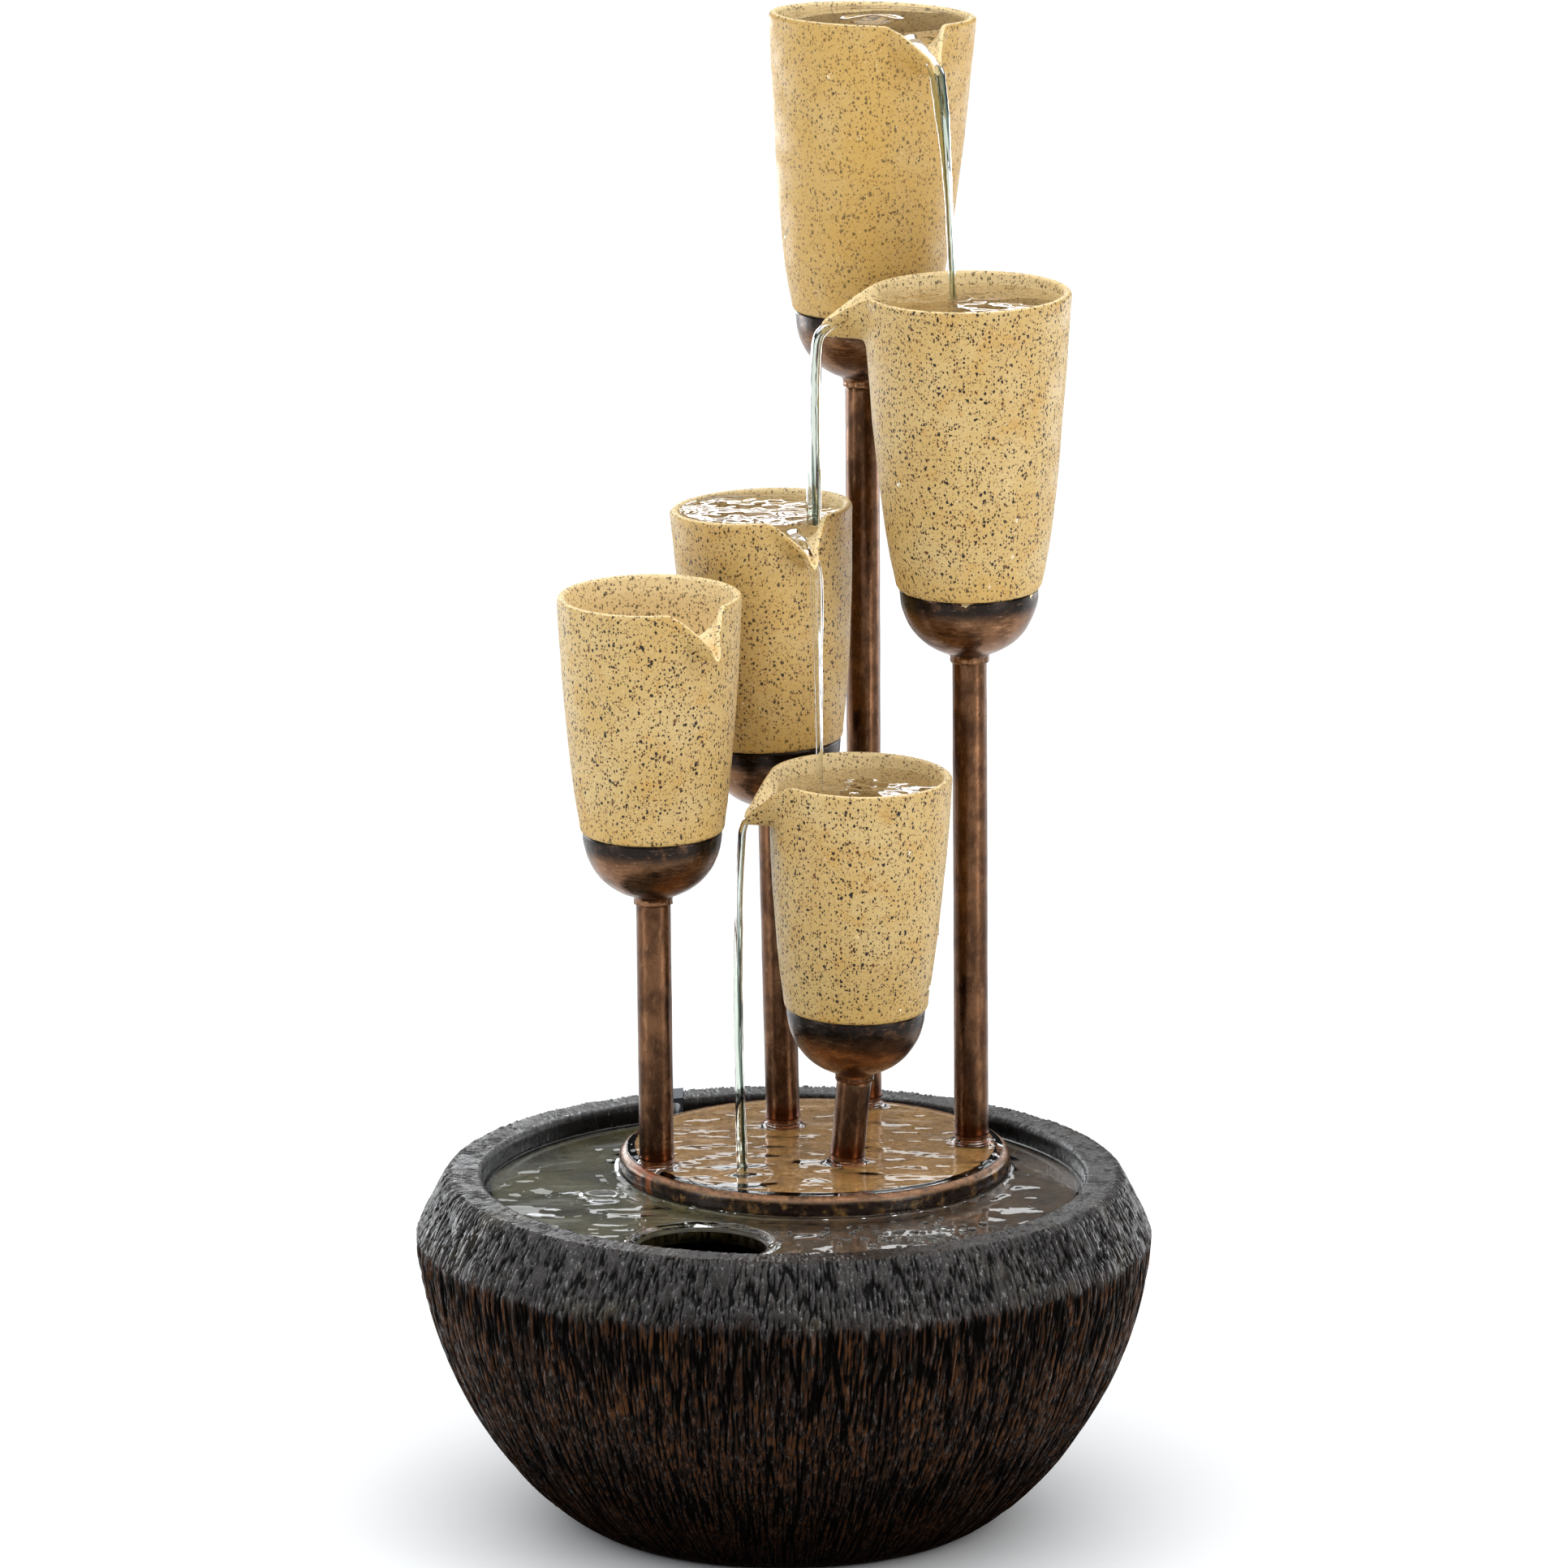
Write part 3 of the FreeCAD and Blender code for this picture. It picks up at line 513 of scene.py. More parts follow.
def carved_stone():
    """Bark-like cast stone: clefts painted black as shade, brown crests below the crease, wet grey above it,
    painted shade near the base and on the inner wall, and olive painted reflections.
    """
    s = Shader("carved_stone", IOR=1.5)
    tone = s.value("tone")
    speck = s.noise(1.1, 5.0, 0.7)
    height = s.node("SeparateXYZ", {"Vector": s.place}).outputs["Z"]
    # low: 1 at the foot, 0 from 130 mm up. The stone is painted darker there as painted shade, and shines less.
    low = s.ramp(height, 0.0, 0.13, 1.0, 0.0)
    bark = s.ramp(s.noise(3.0, 5.0, 0.6, 0.2, (1, 1, 7)), 0.40, 0.64)
    brown = s.mix(bark, (0.0040, 0.0024, 0.0016), (0.070, 0.0265, 0.0085))
    brown = s.mix(s.ramp(s.noise(30.0, 3.0), 0.45, 0.65, 0.0, 0.6), brown, (0.013, 0.0062, 0.0034))
    # Darker towards the base: painted shade.
    brown = s.mix(s.times(low, 0.85), brown, (0.0030, 0.0010, 0.0005))
    damp = s.ramp(s.noise(20.0, 4.0, 0.6, 0.5), 0.36, 0.66)
    grey = s.mix(damp, (0.0085, 0.0055, 0.0045), (0.021, 0.0155, 0.0140))
    grey = s.mix(s.ramp(speck, 0.58, 0.88), grey, (0.048, 0.040, 0.038))
    # Olive patches on the grey rim and shoulder: a painted reflection of greenery in the wet stone.
    olive_reflection = s.ramp(s.noise(38.0, 4.0, 0.6, 0.4), 0.52, 0.68, 0.0, 0.6)
    grey = s.mix(olive_reflection, grey, (0.034, 0.026, 0.009))
    colour = s.mix(tone, brown, grey)
    # The clefts are painted near-black: painted shade in the grooves.
    colour = s.mix(s.ramp(s.value("cleft"), 0.10, 0.60), colour, (0.0014, 0.0009, 0.0007))
    # The inner wall under the rim is painted near-black: painted shade.
    colour = s.mix(s.value("inside"), colour, (0.0055, 0.0050, 0.0050))
    wet = s.ramp(s.noise(11.0, 5.0, 0.6, 0.8), 0.42, 0.60)
    rough = s.minus(s.ramp(tone, 0.0, 1.0, 0.34, 0.30), s.times(wet, 0.14))
    glint = s.ramp(s.noise(1.6, 4.0, 0.6, 0.3, (1, 1, 8)), 0.55, 0.66)
    glint = s.times(glint, s.ramp(tone, 0.0, 1.0, 0.34, 0.95))
    shine = s.plus(glint, s.ramp(tone, 0.0, 1.0, 0.035, 0.34))
    shine = s.times(shine, s.ramp(s.value("cleft"), 0.2, 0.8, 1.0, 0.15))
    shine = s.times(shine, s.ramp(low, 0.0, 1.0, 1.0, 0.05))
    rough = s.minus(rough, s.times(glint, 0.10))
    relief = s.plus(speck, s.times(s.noise(2.6, 4.0, 0.6, 0.0, (1, 1, 5)), 1.5))
    normal = s.bump(relief, 0.26, 0.8)
    return s.finish(Base_Color=colour, Roughness=rough, Specular_IOR_Level=shine, Normal=normal)


def deck_stone():
    """Smooth brown deck with silt, olive on its left as a painted reflection of greenery in the water over it."""
    s = Shader("deck_stone", IOR=1.45)
    silt = s.ramp(s.noise(46.0, 4.0, 0.6, 0.6), 0.40, 0.62)
    # Olive on the left, brown on the right: the olive is a painted reflection of greenery.
    east = s.ramp(s.node("SeparateXYZ", {"Vector": s.place}).outputs["X"], -0.06, 0.03)
    colour = s.mix(silt, (0.022, 0.018, 0.005), (0.058, 0.050, 0.014))
    colour = s.mix(east, colour, s.mix(silt, (0.026, 0.012, 0.005), (0.064, 0.031, 0.012)))
    colour = s.mix(s.ramp(s.noise(7.0, 5.0, 0.65, 0.5), 0.52, 0.74), colour, (0.078, 0.052, 0.020))
    colour = s.mix(s.ramp(s.noise(1.2, 4.0), 0.58, 0.8), colour, (0.018, 0.012, 0.007))
    colour = s.mix(s.value("shade"), colour, (0.004, 0.003, 0.002))
    rough = s.ramp(s.noise(9.0), 0.3, 0.7, 0.30, 0.55)
    return s.finish(Base_Color=colour, Roughness=rough, Normal=s.bump(s.noise(2.0, 5.0), 0.25, 0.6))


def water():
    """Clear water with the finest ripples; the rest are in the mesh."""
    s = Shader("water", Base_Color=(*CLEAR, 1), **CLEAR_WATER)
    return s.finish(Normal=s.bump(s.noise(5.0, 2.0, 0.4), 0.05, 0.5))


def stream_water():
    """Clear water with dark green lines along a falling braid's folds and a green tint where it falls, both a
    painted refraction of dark green surroundings.
    """
    s = Shader("stream_water", **CLEAR_WATER)
    # The dark green line and the green tint are painted: they stand for dark green surroundings seen through the
    # falling water.
    fold = s.ramp(s.value("fold"), 0.12, 0.50)
    colour = s.mix(s.value("tint"), CLEAR, (0.60, 0.68, 0.58))
    colour = s.mix(fold, colour, (0.022, 0.042, 0.026))
    return s.finish(Base_Color=colour, Normal=s.bump(s.noise(4.0, 2.0, 0.4, 0.0, (1, 1, 3)), 0.06, 0.5))


def plain(name, colour, second, size, rough, **constants):
    """A moulded or machined material: fine grain, slight colour drift and uneven gloss."""
    s = Shader(name, **constants)
    drift = s.ramp(s.noise(size * 6, 4.0, 0.6, 0.4), 0.35, 0.68)
    tone = s.mix(drift, colour, second)
    grain = s.noise(size, 5.0, 0.65)
    tone = s.mix(s.ramp(grain, 0.6, 0.85, 0.0, 0.5), tone, tuple(0.5 * c for c in colour))
    gloss = s.ramp(grain, 0.3, 0.7, rough - 0.08, rough + 0.08)
    return s.finish(Base_Color=tone, Roughness=gloss, Normal=s.bump(grain, 0.06, 0.7))


def layers(s, per_mm):
    """Even layers stacked along Z."""
    wave = s.node("TexWave", {"Vector": s.scaled((0.0, 0.0, per_mm)), "Scale": 1.0}, bands_direction="Z")
    return wave.outputs["Fac"]


def wound_copper():
    """Enamelled wire wound side by side on the coil."""
    s = Shader("wound_copper", Metallic=0.9)
    line = layers(s, 0.9)
    colour = s.mix(line, (0.16, 0.045, 0.015), (0.62, 0.25, 0.11))
    return s.finish(Base_Color=colour, Roughness=s.ramp(line, 0, 1, 0.4, 0.22), Normal=s.bump(line, 0.4))


def laminated_iron():
    """Stacked iron sheets with spots of rust."""
    s = Shader("laminated_iron", Metallic=0.9)
    line = layers(s, 1.4)
    colour = s.mix(s.ramp(s.noise(5.0, 5.0), 0.4, 0.7), (0.20, 0.20, 0.21), (0.16, 0.085, 0.045))
    colour = s.mix(s.ramp(line, 0.0, 0.3, 0.7, 0.0), colour, (0.05, 0.05, 0.05))
    rough = s.ramp(s.noise(2.0), 0, 1, 0.35, 0.6)
    return s.finish(Base_Color=colour, Normal=s.bump(line, 0.2), Roughness=rough)


PLAIN = {
    # colour, second colour, grain in mm, roughness, and what stays the same all over
    "dark_brass": ((0.10, 0.045, 0.02), (0.20, 0.060, 0.016), 1.2, 0.42, {"Metallic": 0.9}),
    "grey_rubber": ((0.030, 0.038, 0.052), (0.045, 0.055, 0.072), 0.8, 0.50, {}),
    "black_rubber": ((0.012, 0.012, 0.012), (0.022, 0.022, 0.022), 0.8, 0.65, {}),
    "steel": ((0.55, 0.55, 0.56), (0.42, 0.42, 0.42), 0.6, 0.28, {"Metallic": 1.0}),
    "clear_hose": ((0.62, 0.66, 0.62), (0.50, 0.54, 0.46), 1.5, 0.22,
                   {"Transmission_Weight": 0.55, "IOR": 1.45}),
    "black_plastic": ((0.014, 0.014, 0.016), (0.024, 0.024, 0.026), 0.5, 0.42, {}),
    "grey_plastic": ((0.20, 0.21, 0.22), (0.27, 0.28, 0.29), 0.5, 0.40, {}),
    "white_plastic": ((0.72, 0.72, 0.69), (0.62, 0.62, 0.58), 0.5, 0.36, {}),
    "shaft_ceramic": ((0.85, 0.85, 0.82), (0.75, 0.75, 0.72), 0.4, 0.15, {}),
}


def make_materials():
    """Materials by name; most names are also slots of the CAD record."""
    mats = {name: plain(name, *look, **constants) for name, (*look, constants) in PLAIN.items()}
    makers = {
        "speckled_ware": speckled_ware, "pole_copper": pole_copper, "cradle_copper": cradle_copper,
        "plate_copper": plate_copper, "carved_stone": carved_stone, "wet_deck": deck_stone, "water": water,
        "stream_water": stream_water, "core_iron": laminated_iron, "coil_copper": wound_copper,
    }
    return {**mats, **{name: make() for name, make in makers.items()}}


# ---------------------------------------------------------------- tiers

def tier_frame(number):
    """Where a tier's pole stands and ends, and the lean of its cup."""
    tier = TIERS[number - 1]
    joint = JOINTS["cup_%d_swivel" % number]
    foot = np.array(joint["pos_m"]) / MM
    axis = np.array(joint["axis"], float)
    top_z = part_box("pole_%d" % number)[1].z / MM
    top = foot + axis * (top_z - foot[2]) / axis[2]
    right, front = (math.radians(angle) for angle in tier["lean"])
    lean = np.array([math.tan(right), -math.tan(front), 1.0])
    return {**tier, "foot": foot, "axis": axis, "top": top, "lean": lean / np.linalg.norm(lean)}


def in_cup(points, tier):
    """From the cup's own frame, spout to -Y and heights above the cradle's rim, to the row frame."""
    return placed(points + UP * CRADLE_H, tier["top"], tier["lean"], tier["spout"])


def wall_radius(tier, height, thickness=0.0):
    """The cup's radius at a height above the cradle's rim, outside or so far inside."""
    line = bezier(CUPS[tier["cup"]]["wall"], 80)
    return np.interp(height, line[:, 1], line[:, 0]) - thickness


def mirrored(side, u):
    """Give a point right of the spout's middle the sign of its column."""
    return np.stack([side[0] * np.sign(u + 1e-12), -side[1], side[2]], -1)


def spout_lips(tier, u):
    """Outer and inner lip and the lip's crown direction at u from -1 to 1 across the spout."""
    shape = CUPS[tier["cup"]]
    rim_r, rim_z = shape["wall"][-1]
    tip_half_w = 4.4
    corner = 0.72
    q = 1 - np.abs(u)
    start = np.array([SPOUT_HALF_W, math.sqrt(rim_r ** 2 - SPOUT_HALF_W ** 2)])
    tip = np.array([tip_half_w, rim_r + shape["reach"]])
    along = np.clip(q / corner, 0, 1)
    past = np.sin(np.clip((q - corner) / (1 - corner), 0, 1) * math.pi / 2)
    edge = (tip - start) / np.linalg.norm(tip - start)
    blend = ramp(0, 0.35, along)
    inward = np.stack([-start[0] / rim_r * (1 - blend) - edge[1] * blend,
                       -start[1] / rim_r * (1 - blend) + edge[0] * blend], 0)
    thick = LIP_T - 1.6 * along
    x = start[0] + (tip[0] - start[0]) * along
    y = start[1] + (tip[1] - start[1]) * along
    lip_z = rim_z - LIP_DROP - 14.5 * along ** 1.15
    outer = (x * np.sqrt(1 - past ** 2), y + 3.0 * past, lip_z - 8.0 * past ** 2)
    inner = ((x + inward[0] * thick) * np.sqrt(1 - past ** 2), y + inward[1] * thick + 2.4 * past,
             lip_z - 5.0 * past ** 2)
    crown = np.stack([0 * q, -0.9 * past, 1 - 1.45 * past], -1)
    crown /= np.linalg.norm(crown, axis=1)[:, None]
    return mirrored(outer, u), mirrored(inner, u), crown, q


def cup_columns(rim_r):
    """Angle round the cup from the spout, and u across the spout, for each column."""
    half = math.asin(SPOUT_HALF_W / rim_r)
    u = np.linspace(-1, 1, 57)
    others = np.linspace(half, TAU - half, 201)[1:-1]
    return np.r_[half * u, others], np.r_[u, np.full(len(others), 1.0)]


def cup_rings(number, tier):
    """Rings of a cup, up the outside, over the lip and down the inside, and the values that colour it."""
    rim_r, rim_z = CUPS[tier["cup"]]["wall"][-1]
    angle, u = cup_columns(rim_r)
    heading = np.stack([np.sin(angle), -np.cos(angle)], -1)

    def ring(radius, height):
        radius = np.broadcast_to(radius, angle.shape)
        height = np.broadcast_to(height, angle.shape)
        return np.stack([radius * heading[:, 0], radius * heading[:, 1], height], -1)

    lip, inner_lip, crown, q = spout_lips(tier, u)
    plain_columns = np.abs(u) >= 1
    q = np.where(plain_columns, 0, q)
    lip[plain_columns] = ring(rim_r, rim_z - LIP_DROP)[plain_columns]
    inner_lip[plain_columns] = ring(rim_r - LIP_T, rim_z - LIP_DROP)[plain_columns]
    crown[plain_columns] = UP
    outer_merge = rim_z - 10.0 - 17.0 * q ** 0.75
    inner_merge = rim_z - 9.0 - 4.0 * q
    seat_r = 36.0
    rows = [ring(r, z) for r, z in arc((0, 0), seat_r, -88, -3, 12)]
    rows += [ring(FOOT_R - 1.2, 0.0), ring(FOOT_R - 0.35, 0.35), ring(FOOT_R + 0.1, 1.3)]
    wall_row = len(rows)
    for t in np.linspace(0, 1, 40):
        height = 2.4 + (outer_merge - 2.4) * t
        rows.append(ring(wall_radius(tier, height), height))
    root = rows[-1]
    rows += [root + (lip - root) * t for t in np.linspace(0, 1, 15)[1:]]
    lip_row = len(rows)
    middle = (lip + inner_lip) / 2
    half = (lip - inner_lip) / 2
    size = np.linalg.norm(half, axis=1)[:, None]
    for turn in np.linspace(0, math.pi, 9)[1:]:
        rows.append(middle + half * math.cos(turn) + crown * size * math.sin(turn))
    root = ring(wall_radius(tier, inner_merge, CUP_WALL), inner_merge)
    rows += [inner_lip + (root - inner_lip) * t for t in np.linspace(0, 1, 11)[1:]]
    inside_row = len(rows)
    for t in np.linspace(0, 1, 26)[1:]:
        height = inner_merge * (1 - t)
        rows.append(ring(wall_radius(tier, height, CUP_WALL), height))
    bowl = np.linspace(0.15, 1.5, 9)
    rows += [ring((FOOT_R - CUP_WALL) * math.cos(t), -BOWL_DEPTH * math.sin(t)) for t in bowl]
    rings = np.array(rows)
    near = np.exp(-np.maximum(np.abs(((angle + math.pi) % TAU) - math.pi) - 0.36, 0) * 14)
    reach = np.zeros((len(rows), 1))
    reach[wall_row + 15:inside_row + 8] = 1
    for _ in range(4):
        smooth = sum(np.roll(rings, shift, axis) for shift, axis in ((1, 1), (-1, 1), (1, 0), (-1, 0))) / 4
        rings = rings + (smooth - rings) * (near * reach * 0.6)[..., None]
    x, y, z = np.moveaxis(rings, -1, 0)
    fine = 0.12 * noise(x / 6, y / 6, z / 6, number + 9)
    swell = 0.40 * (noise(x / 30, y / 30, z / 36, number) - 1) + fine - 0.12
    push_out(rings, np.maximum(np.hypot(x, y), 1), swell, ramp(1, 8, z))
    # inner: the top of the lip and the inside. The glaze paints them paler: on the lip that is its colour, inside
    # it is painted light.
    inner = np.broadcast_to((np.arange(len(rows)) >= lip_row + 2)[:, None] * 1.0, rings.shape[:2])
    golden = np.clip(tier.get("golden", 0.0) + 0.5 * ramp(26, 2, z), 0, 1) * (1 - inner)
    return rings, {"inner": inner, "golden": golden}


def level_height(tier, level):
    """Height above the cradle's rim of a level plane in the leaning cup, as a function of (x, y)."""
    up = placed(np.eye(3), (0, 0, 0), tier["lean"], tier["spout"])[:, 2]
    middle = CUPS[tier["cup"]]["wall"][-1][1] - level
    return lambda x, y: middle - (up[0] * x + up[1] * y) / up[2]


def cup_water_rings(number, tier, drop):
    """Water in a cup: level, with a swell where it rises or where a stream falls in."""
    plane = level_height(tier, tier["level"])
    columns = 144
    angle = np.arange(columns) * TAU / columns
    gap = 0.25
    edge = np.full(columns, 45.0)
    for _ in range(4):
        height = plane(edge * np.sin(angle), -edge * np.cos(angle))
        edge = wall_radius(tier, height, CUP_WALL) - gap
    rows = []
    for t in np.linspace(0.12, 1.5, 8)[::-1]:
        radius = (FOOT_R - CUP_WALL - gap) * math.cos(t)
        rows.append((radius + 0 * angle, -(BOWL_DEPTH - gap) * math.sin(t) + 0 * angle, False))
    for t in np.linspace(0, 1, 22)[:-1]:
        rows.append((wall_radius(tier, height * t, CUP_WALL) - gap, height * t, False))
    for t in np.linspace(1, 0.02, 46):
        rows.append((edge * t, None, True))
    rings = []
    for radius, level, top in rows:
        x, y = radius * np.sin(angle), -radius * np.cos(angle)
        if top:
            away = apart(x, y, drop)
            short = 0.26 * noise(x / 8, y / 7, 0, number + 40)
            wave = tier["chop"] * (short + 0.62 * noise(x / 17, y / 17, 0, number + 50))
            wave += tier["chop"] * 0.6 * np.cos(away / 1.75) * fade(away, 10.0) * ramp(0, 6, away)
            wave += 0.9 * fade(edge - radius, 1.3)
            if number == 1:
                wave += 3.4 * hump(away, 13.0)
            level = plane(x, y) + wave - 0.9
        rings.append(np.stack([x, y, level], -1))
    return np.array(rings)


# ---------------------------------------------------------------- streams

def stream_path(tier, reach, sway, end_z, wobble):
    """Middle line of a stream: along the spout's channel, over its tip, and down to end_z."""
    shape = CUPS[tier["cup"]]
    rim_r, rim_z = shape["wall"][-1]
    tip_y = rim_r + shape["reach"]
    local = np.array([
        (0, -(rim_r - 12), rim_z - 8.0), (0, -(rim_r - 3), rim_z - 11.0), (0, -(tip_y - 7), rim_z - 16.5),
        (0, -(tip_y - 1), rim_z - 20.0), (0, -(tip_y + 2.6), rim_z - 24.0), (0, -(tip_y + 3.9), rim_z - 28.5),
    ])
    lead = in_cup(local, tier)
    tip = lead[-1]
    heading = placed(np.array([[0.0, -1.0, 0.0]]), (0, 0, 0), (0, 0, 1), tier["spout"])[0]
    drop = np.linspace(4, tip[2] - end_z, 40)
    out = reach * (1 - fade(drop, 45.0)) + wobble * np.sin(drop / 55.0)
    fall = tip + heading * out[:, None] - UP * drop[:, None]
    fall[:, 0] += sway * (drop / drop[-1]) ** 1.5
    return even(np.vstack([lead, fall]), 1.4)


def stream_rings(path, widths, dark, seed):
    """A stream and its folds: a flat film in the channel that turns over as it falls."""
    along = np.r_[0, np.cumsum(np.linalg.norm(np.diff(path, axis=0), axis=1))]
    tangent = np.gradient(path, axis=0)
    tangent /= np.linalg.norm(tangent, axis=1)[:, None]
    flow = np.array([tangent[0][0], tangent[0][1], 0.0])
    side = np.cross(flow / np.linalg.norm(flow), UP)
    across = side - tangent * (tangent @ side)[:, None]
    across /= np.linalg.norm(across, axis=1)[:, None]
    normal = np.cross(across, tangent)
    marks = [0, 18, 34, 60, along[-1] * 0.7, along[-1]]
    wide = np.interp(along, marks, widths) * (1 + 0.12 * noise(along / 15, 0.5, 0.5, seed))
    thick = wide * np.interp(along, marks, [0.34, 0.30, 0.50, 0.62, 0.70, 0.85])
    twist = np.interp(along, [0, 60, along[-1]], [0, 0, 1.3]) + 0.4 * noise(along / 34, 3.5, 0.5, seed)
    twist = (twist * ramp(34, 70, along))[:, None]
    columns = 32
    turn = np.arange(columns) * TAU / columns
    notch = 1 - 0.20 * ramp(18, 40, along)[:, None] * hump(np.cos(turn), 0.35)
    ripple = notch * (1 + 0.05 * noise(along[:, None] / 5, 2 * np.cos(turn), 2 * np.sin(turn), seed + 3))
    a = wide[:, None] * np.cos(turn) * ripple
    b = thick[:, None] * np.sin(turn) * ripple
    x = (a * np.cos(twist) - b * np.sin(twist))[..., None] * across[:, None]
    y = (a * np.sin(twist) + b * np.cos(twist))[..., None] * normal[:, None]
    # line and fold mark where the material paints the dark green line, a painted refraction.
    line = hump(np.cos(turn) + 0.50 + 0.25 * noise(along / 21, 7.5, 0.5, seed)[:, None], 0.24)
    falls = ramp(24, 40, along)[:, None]
    fold = dark * line * falls * ramp(-0.9, -0.2, noise(along / 26, 1.5, 0.5, seed + 5))[:, None]
    tint = dark * falls * np.ones(columns)
    return path[:, None] + x + y, {"fold": fold, "tint": tint}


# ---------------------------------------------------------------- pieces

def strip_field(arc_mm, along, width, length, seed):
    """Strips so wide and long, in millimetres, whose number fits the ring exactly."""
    around = int(round(TAU * CREASE[0] / width))
    u = arc_mm * around / (TAU * CREASE[0])
    return strips(u, along / length + 0 * u + 50.3, around, seed)


def bark(arc_mm, along, coarse, fine, shift, seed):
    """Grooves between long strips and between finer ones, and how the strips themselves vary."""
    *size, gap = coarse
    *fine_size, fine_gap = fine
    edge, key, across = strip_field(arc_mm, along, *size, seed)
    fine_edge, fine_key, _ = strip_field(arc_mm + shift, along, *fine_size, seed + 1)
    groove = np.maximum(1 - ramp(0.0, gap, edge), 0.6 * (1 - ramp(0.0, fine_gap, fine_edge)))
    return groove, key, across, fine_key


def basin_profile():
    """Outline of the basin from the middle of its base to the middle of its floor, and each point's zone."""
    slope_r = RIM_OUTER_R - 3.0
    lip_r = RIM_INNER_R + 1.5
    parts = [
        even([(3, 0), (BASE_R - 3, 0), (BASE_R, 0.6)], 12),
        even(bezier(WALL, 200), 2.5),
        even([CREASE, (RIM_OUTER_R + 2.2, RIM_Z - 5.5), (RIM_OUTER_R, RIM_Z - 2.2), (slope_r, RIM_Z)], 1.4),
        even([(slope_r, RIM_Z), (lip_r, RIM_Z)], 1.6),
        even([(lip_r, RIM_Z), (RIM_INNER_R + 0.4, RIM_Z - 0.4), (RIM_INNER_R, RIM_Z - 1.5),
              (RIM_INNER_R, UNDERCUT_Z)], 3.0),
        even(np.vstack([[(RIM_INNER_R, UNDERCUT_Z)], bezier(HOLLOW, 30)]), 12),
        even([HOLLOW[-1], (3, HOLLOW[-1][1])], 27),
    ]
    parts = parts[:1] + [part[1:] for part in parts[1:]]
    zone = np.concatenate([np.full(len(part), i) for i, part in enumerate(parts)])[:, None]
    crease_row = len(parts[0]) + len(parts[1]) - 1
    return np.vstack(parts), zone, crease_row


def basin_rings():
    """Rings of the basin, its relief carved in from the CAD outline, and the values that colour it."""
    profile, zone, crease_row = basin_profile()
    step = np.r_[0, np.cumsum(np.linalg.norm(np.diff(profile, axis=0), axis=1))]
    s = (step - step[crease_row])[:, None]
    tangent = np.gradient(profile, axis=0)
    tangent /= np.linalg.norm(tangent, axis=1)[:, None]
    columns = 1440
    angle = np.arange(columns) * TAU / columns
    size = CREASE[0]
    x, y = size * np.cos(angle), size * np.sin(angle)
    sway = 3.0 * noise(x / 30, y / 30, s / 50, 1) + 1.3 * noise(x / 9, y / 9, s / 20, 2)
    arc_mm = size * angle + sway
    jag = 2.4 * noise(x / 3.2, y / 3.2, 0.5, 10) + 1.6 * noise(x / 11, y / 11, 0.5, 11)
    on_rim = (zone == 3) * 1.0
    past_crease = ramp(-6.0, 6.0, s + 1.8 * jag)
    on_shoulder = past_crease * (zone <= 2)
    on_wall = (1 - past_crease) * (zone >= 1) * ramp(0.5, 8, profile[:, 1:])
    furrow, key, across, fine_key = bark(arc_mm, s, (3.4, 90.0, 0.30), (2.0, 52.0, 0.26), 7, 21)
    on_body = 1.4 * furrow + 1.0 * key + 0.8 * across * (fine_key - 0.3) + 0.35 * fine_key
    under = 0.5 * hump(np.minimum(s + jag, 0), 7.0)
    slit, key, across, fine_key = bark(arc_mm, s, (3.1, 30.0, 0.28), (1.9, 19.0, 0.20), 3, 23)
    slit = slit * ramp(-1.0, 0.0, noise(x / 12, y / 12, s / 18, 5))
    on_band = 1.4 * slit + 0.6 * key + 0.9 * across * (fine_key - 0.4)
    round_edge = 0.6 * hump(s, 6.0)
    edge, key, _ = strip_field(arc_mm, profile[:, :1], 2.6, 11.0, 25)
    cracks = (1 - ramp(0.0, 0.24, edge)) * ramp(-0.4, 0.3, noise(x / 13, y / 13, s / 9, 8))
    on_top = 0.7 * cracks + 0.35 * key + 0.35 + 0.35 * noise(x / 15, y / 15, s / 15, 9)
    depth = on_wall * (on_body + under) + on_shoulder * (on_band + round_edge)
    depth = depth + on_rim * np.maximum(on_top, 0)
    radius = profile[:, :1] - depth * tangent[:, 1:]
    height = profile[:, 1:] + depth * tangent[:, :1]
    rings = np.stack([radius * np.cos(angle), radius * np.sin(angle), height], -1)
    # cleft: how deep in a groove a point lies; the stone's material paints it near-black as painted shade.
    cleft = on_wall * furrow + on_shoulder * slit + on_rim * 0.8 * cracks
    tone = np.where(zone >= 3, 1.0, on_shoulder)
    # inside: the inner wall under the rim, which the stone's material paints near-black as painted shade.
    inside = (zone >= 4) * ramp(-0.6, -2.5, height - RIM_Z)
    return rings, {"cleft": cleft, "tone": tone, "inside": inside}


def build_basin(mats):
    """The carved basin with the notch in its rim, and the lugs that carry the deck."""
    rings, values = basin_rings()
    stone = mats["carved_stone"]
    basin = add("carved_basin", shell(rings), stone, "basin", ["basin_shell"], values)
    x0 = NOTCH_X - NOTCH_W / 2
    carve(basin, block((x0, RIM_INNER_R - 14, RIM_Z - NOTCH_DEPTH), (x0 + NOTCH_W, CREASE[0], RIM_Z + 5)))
    turns = [LUGS["first"] + index * 360 / LUGS["count"] for index in range(LUGS["count"])]
    lugs = [lug(math.radians(turn)) for turn in turns]
    add("deck_lugs", join(lugs), stone, "basin")


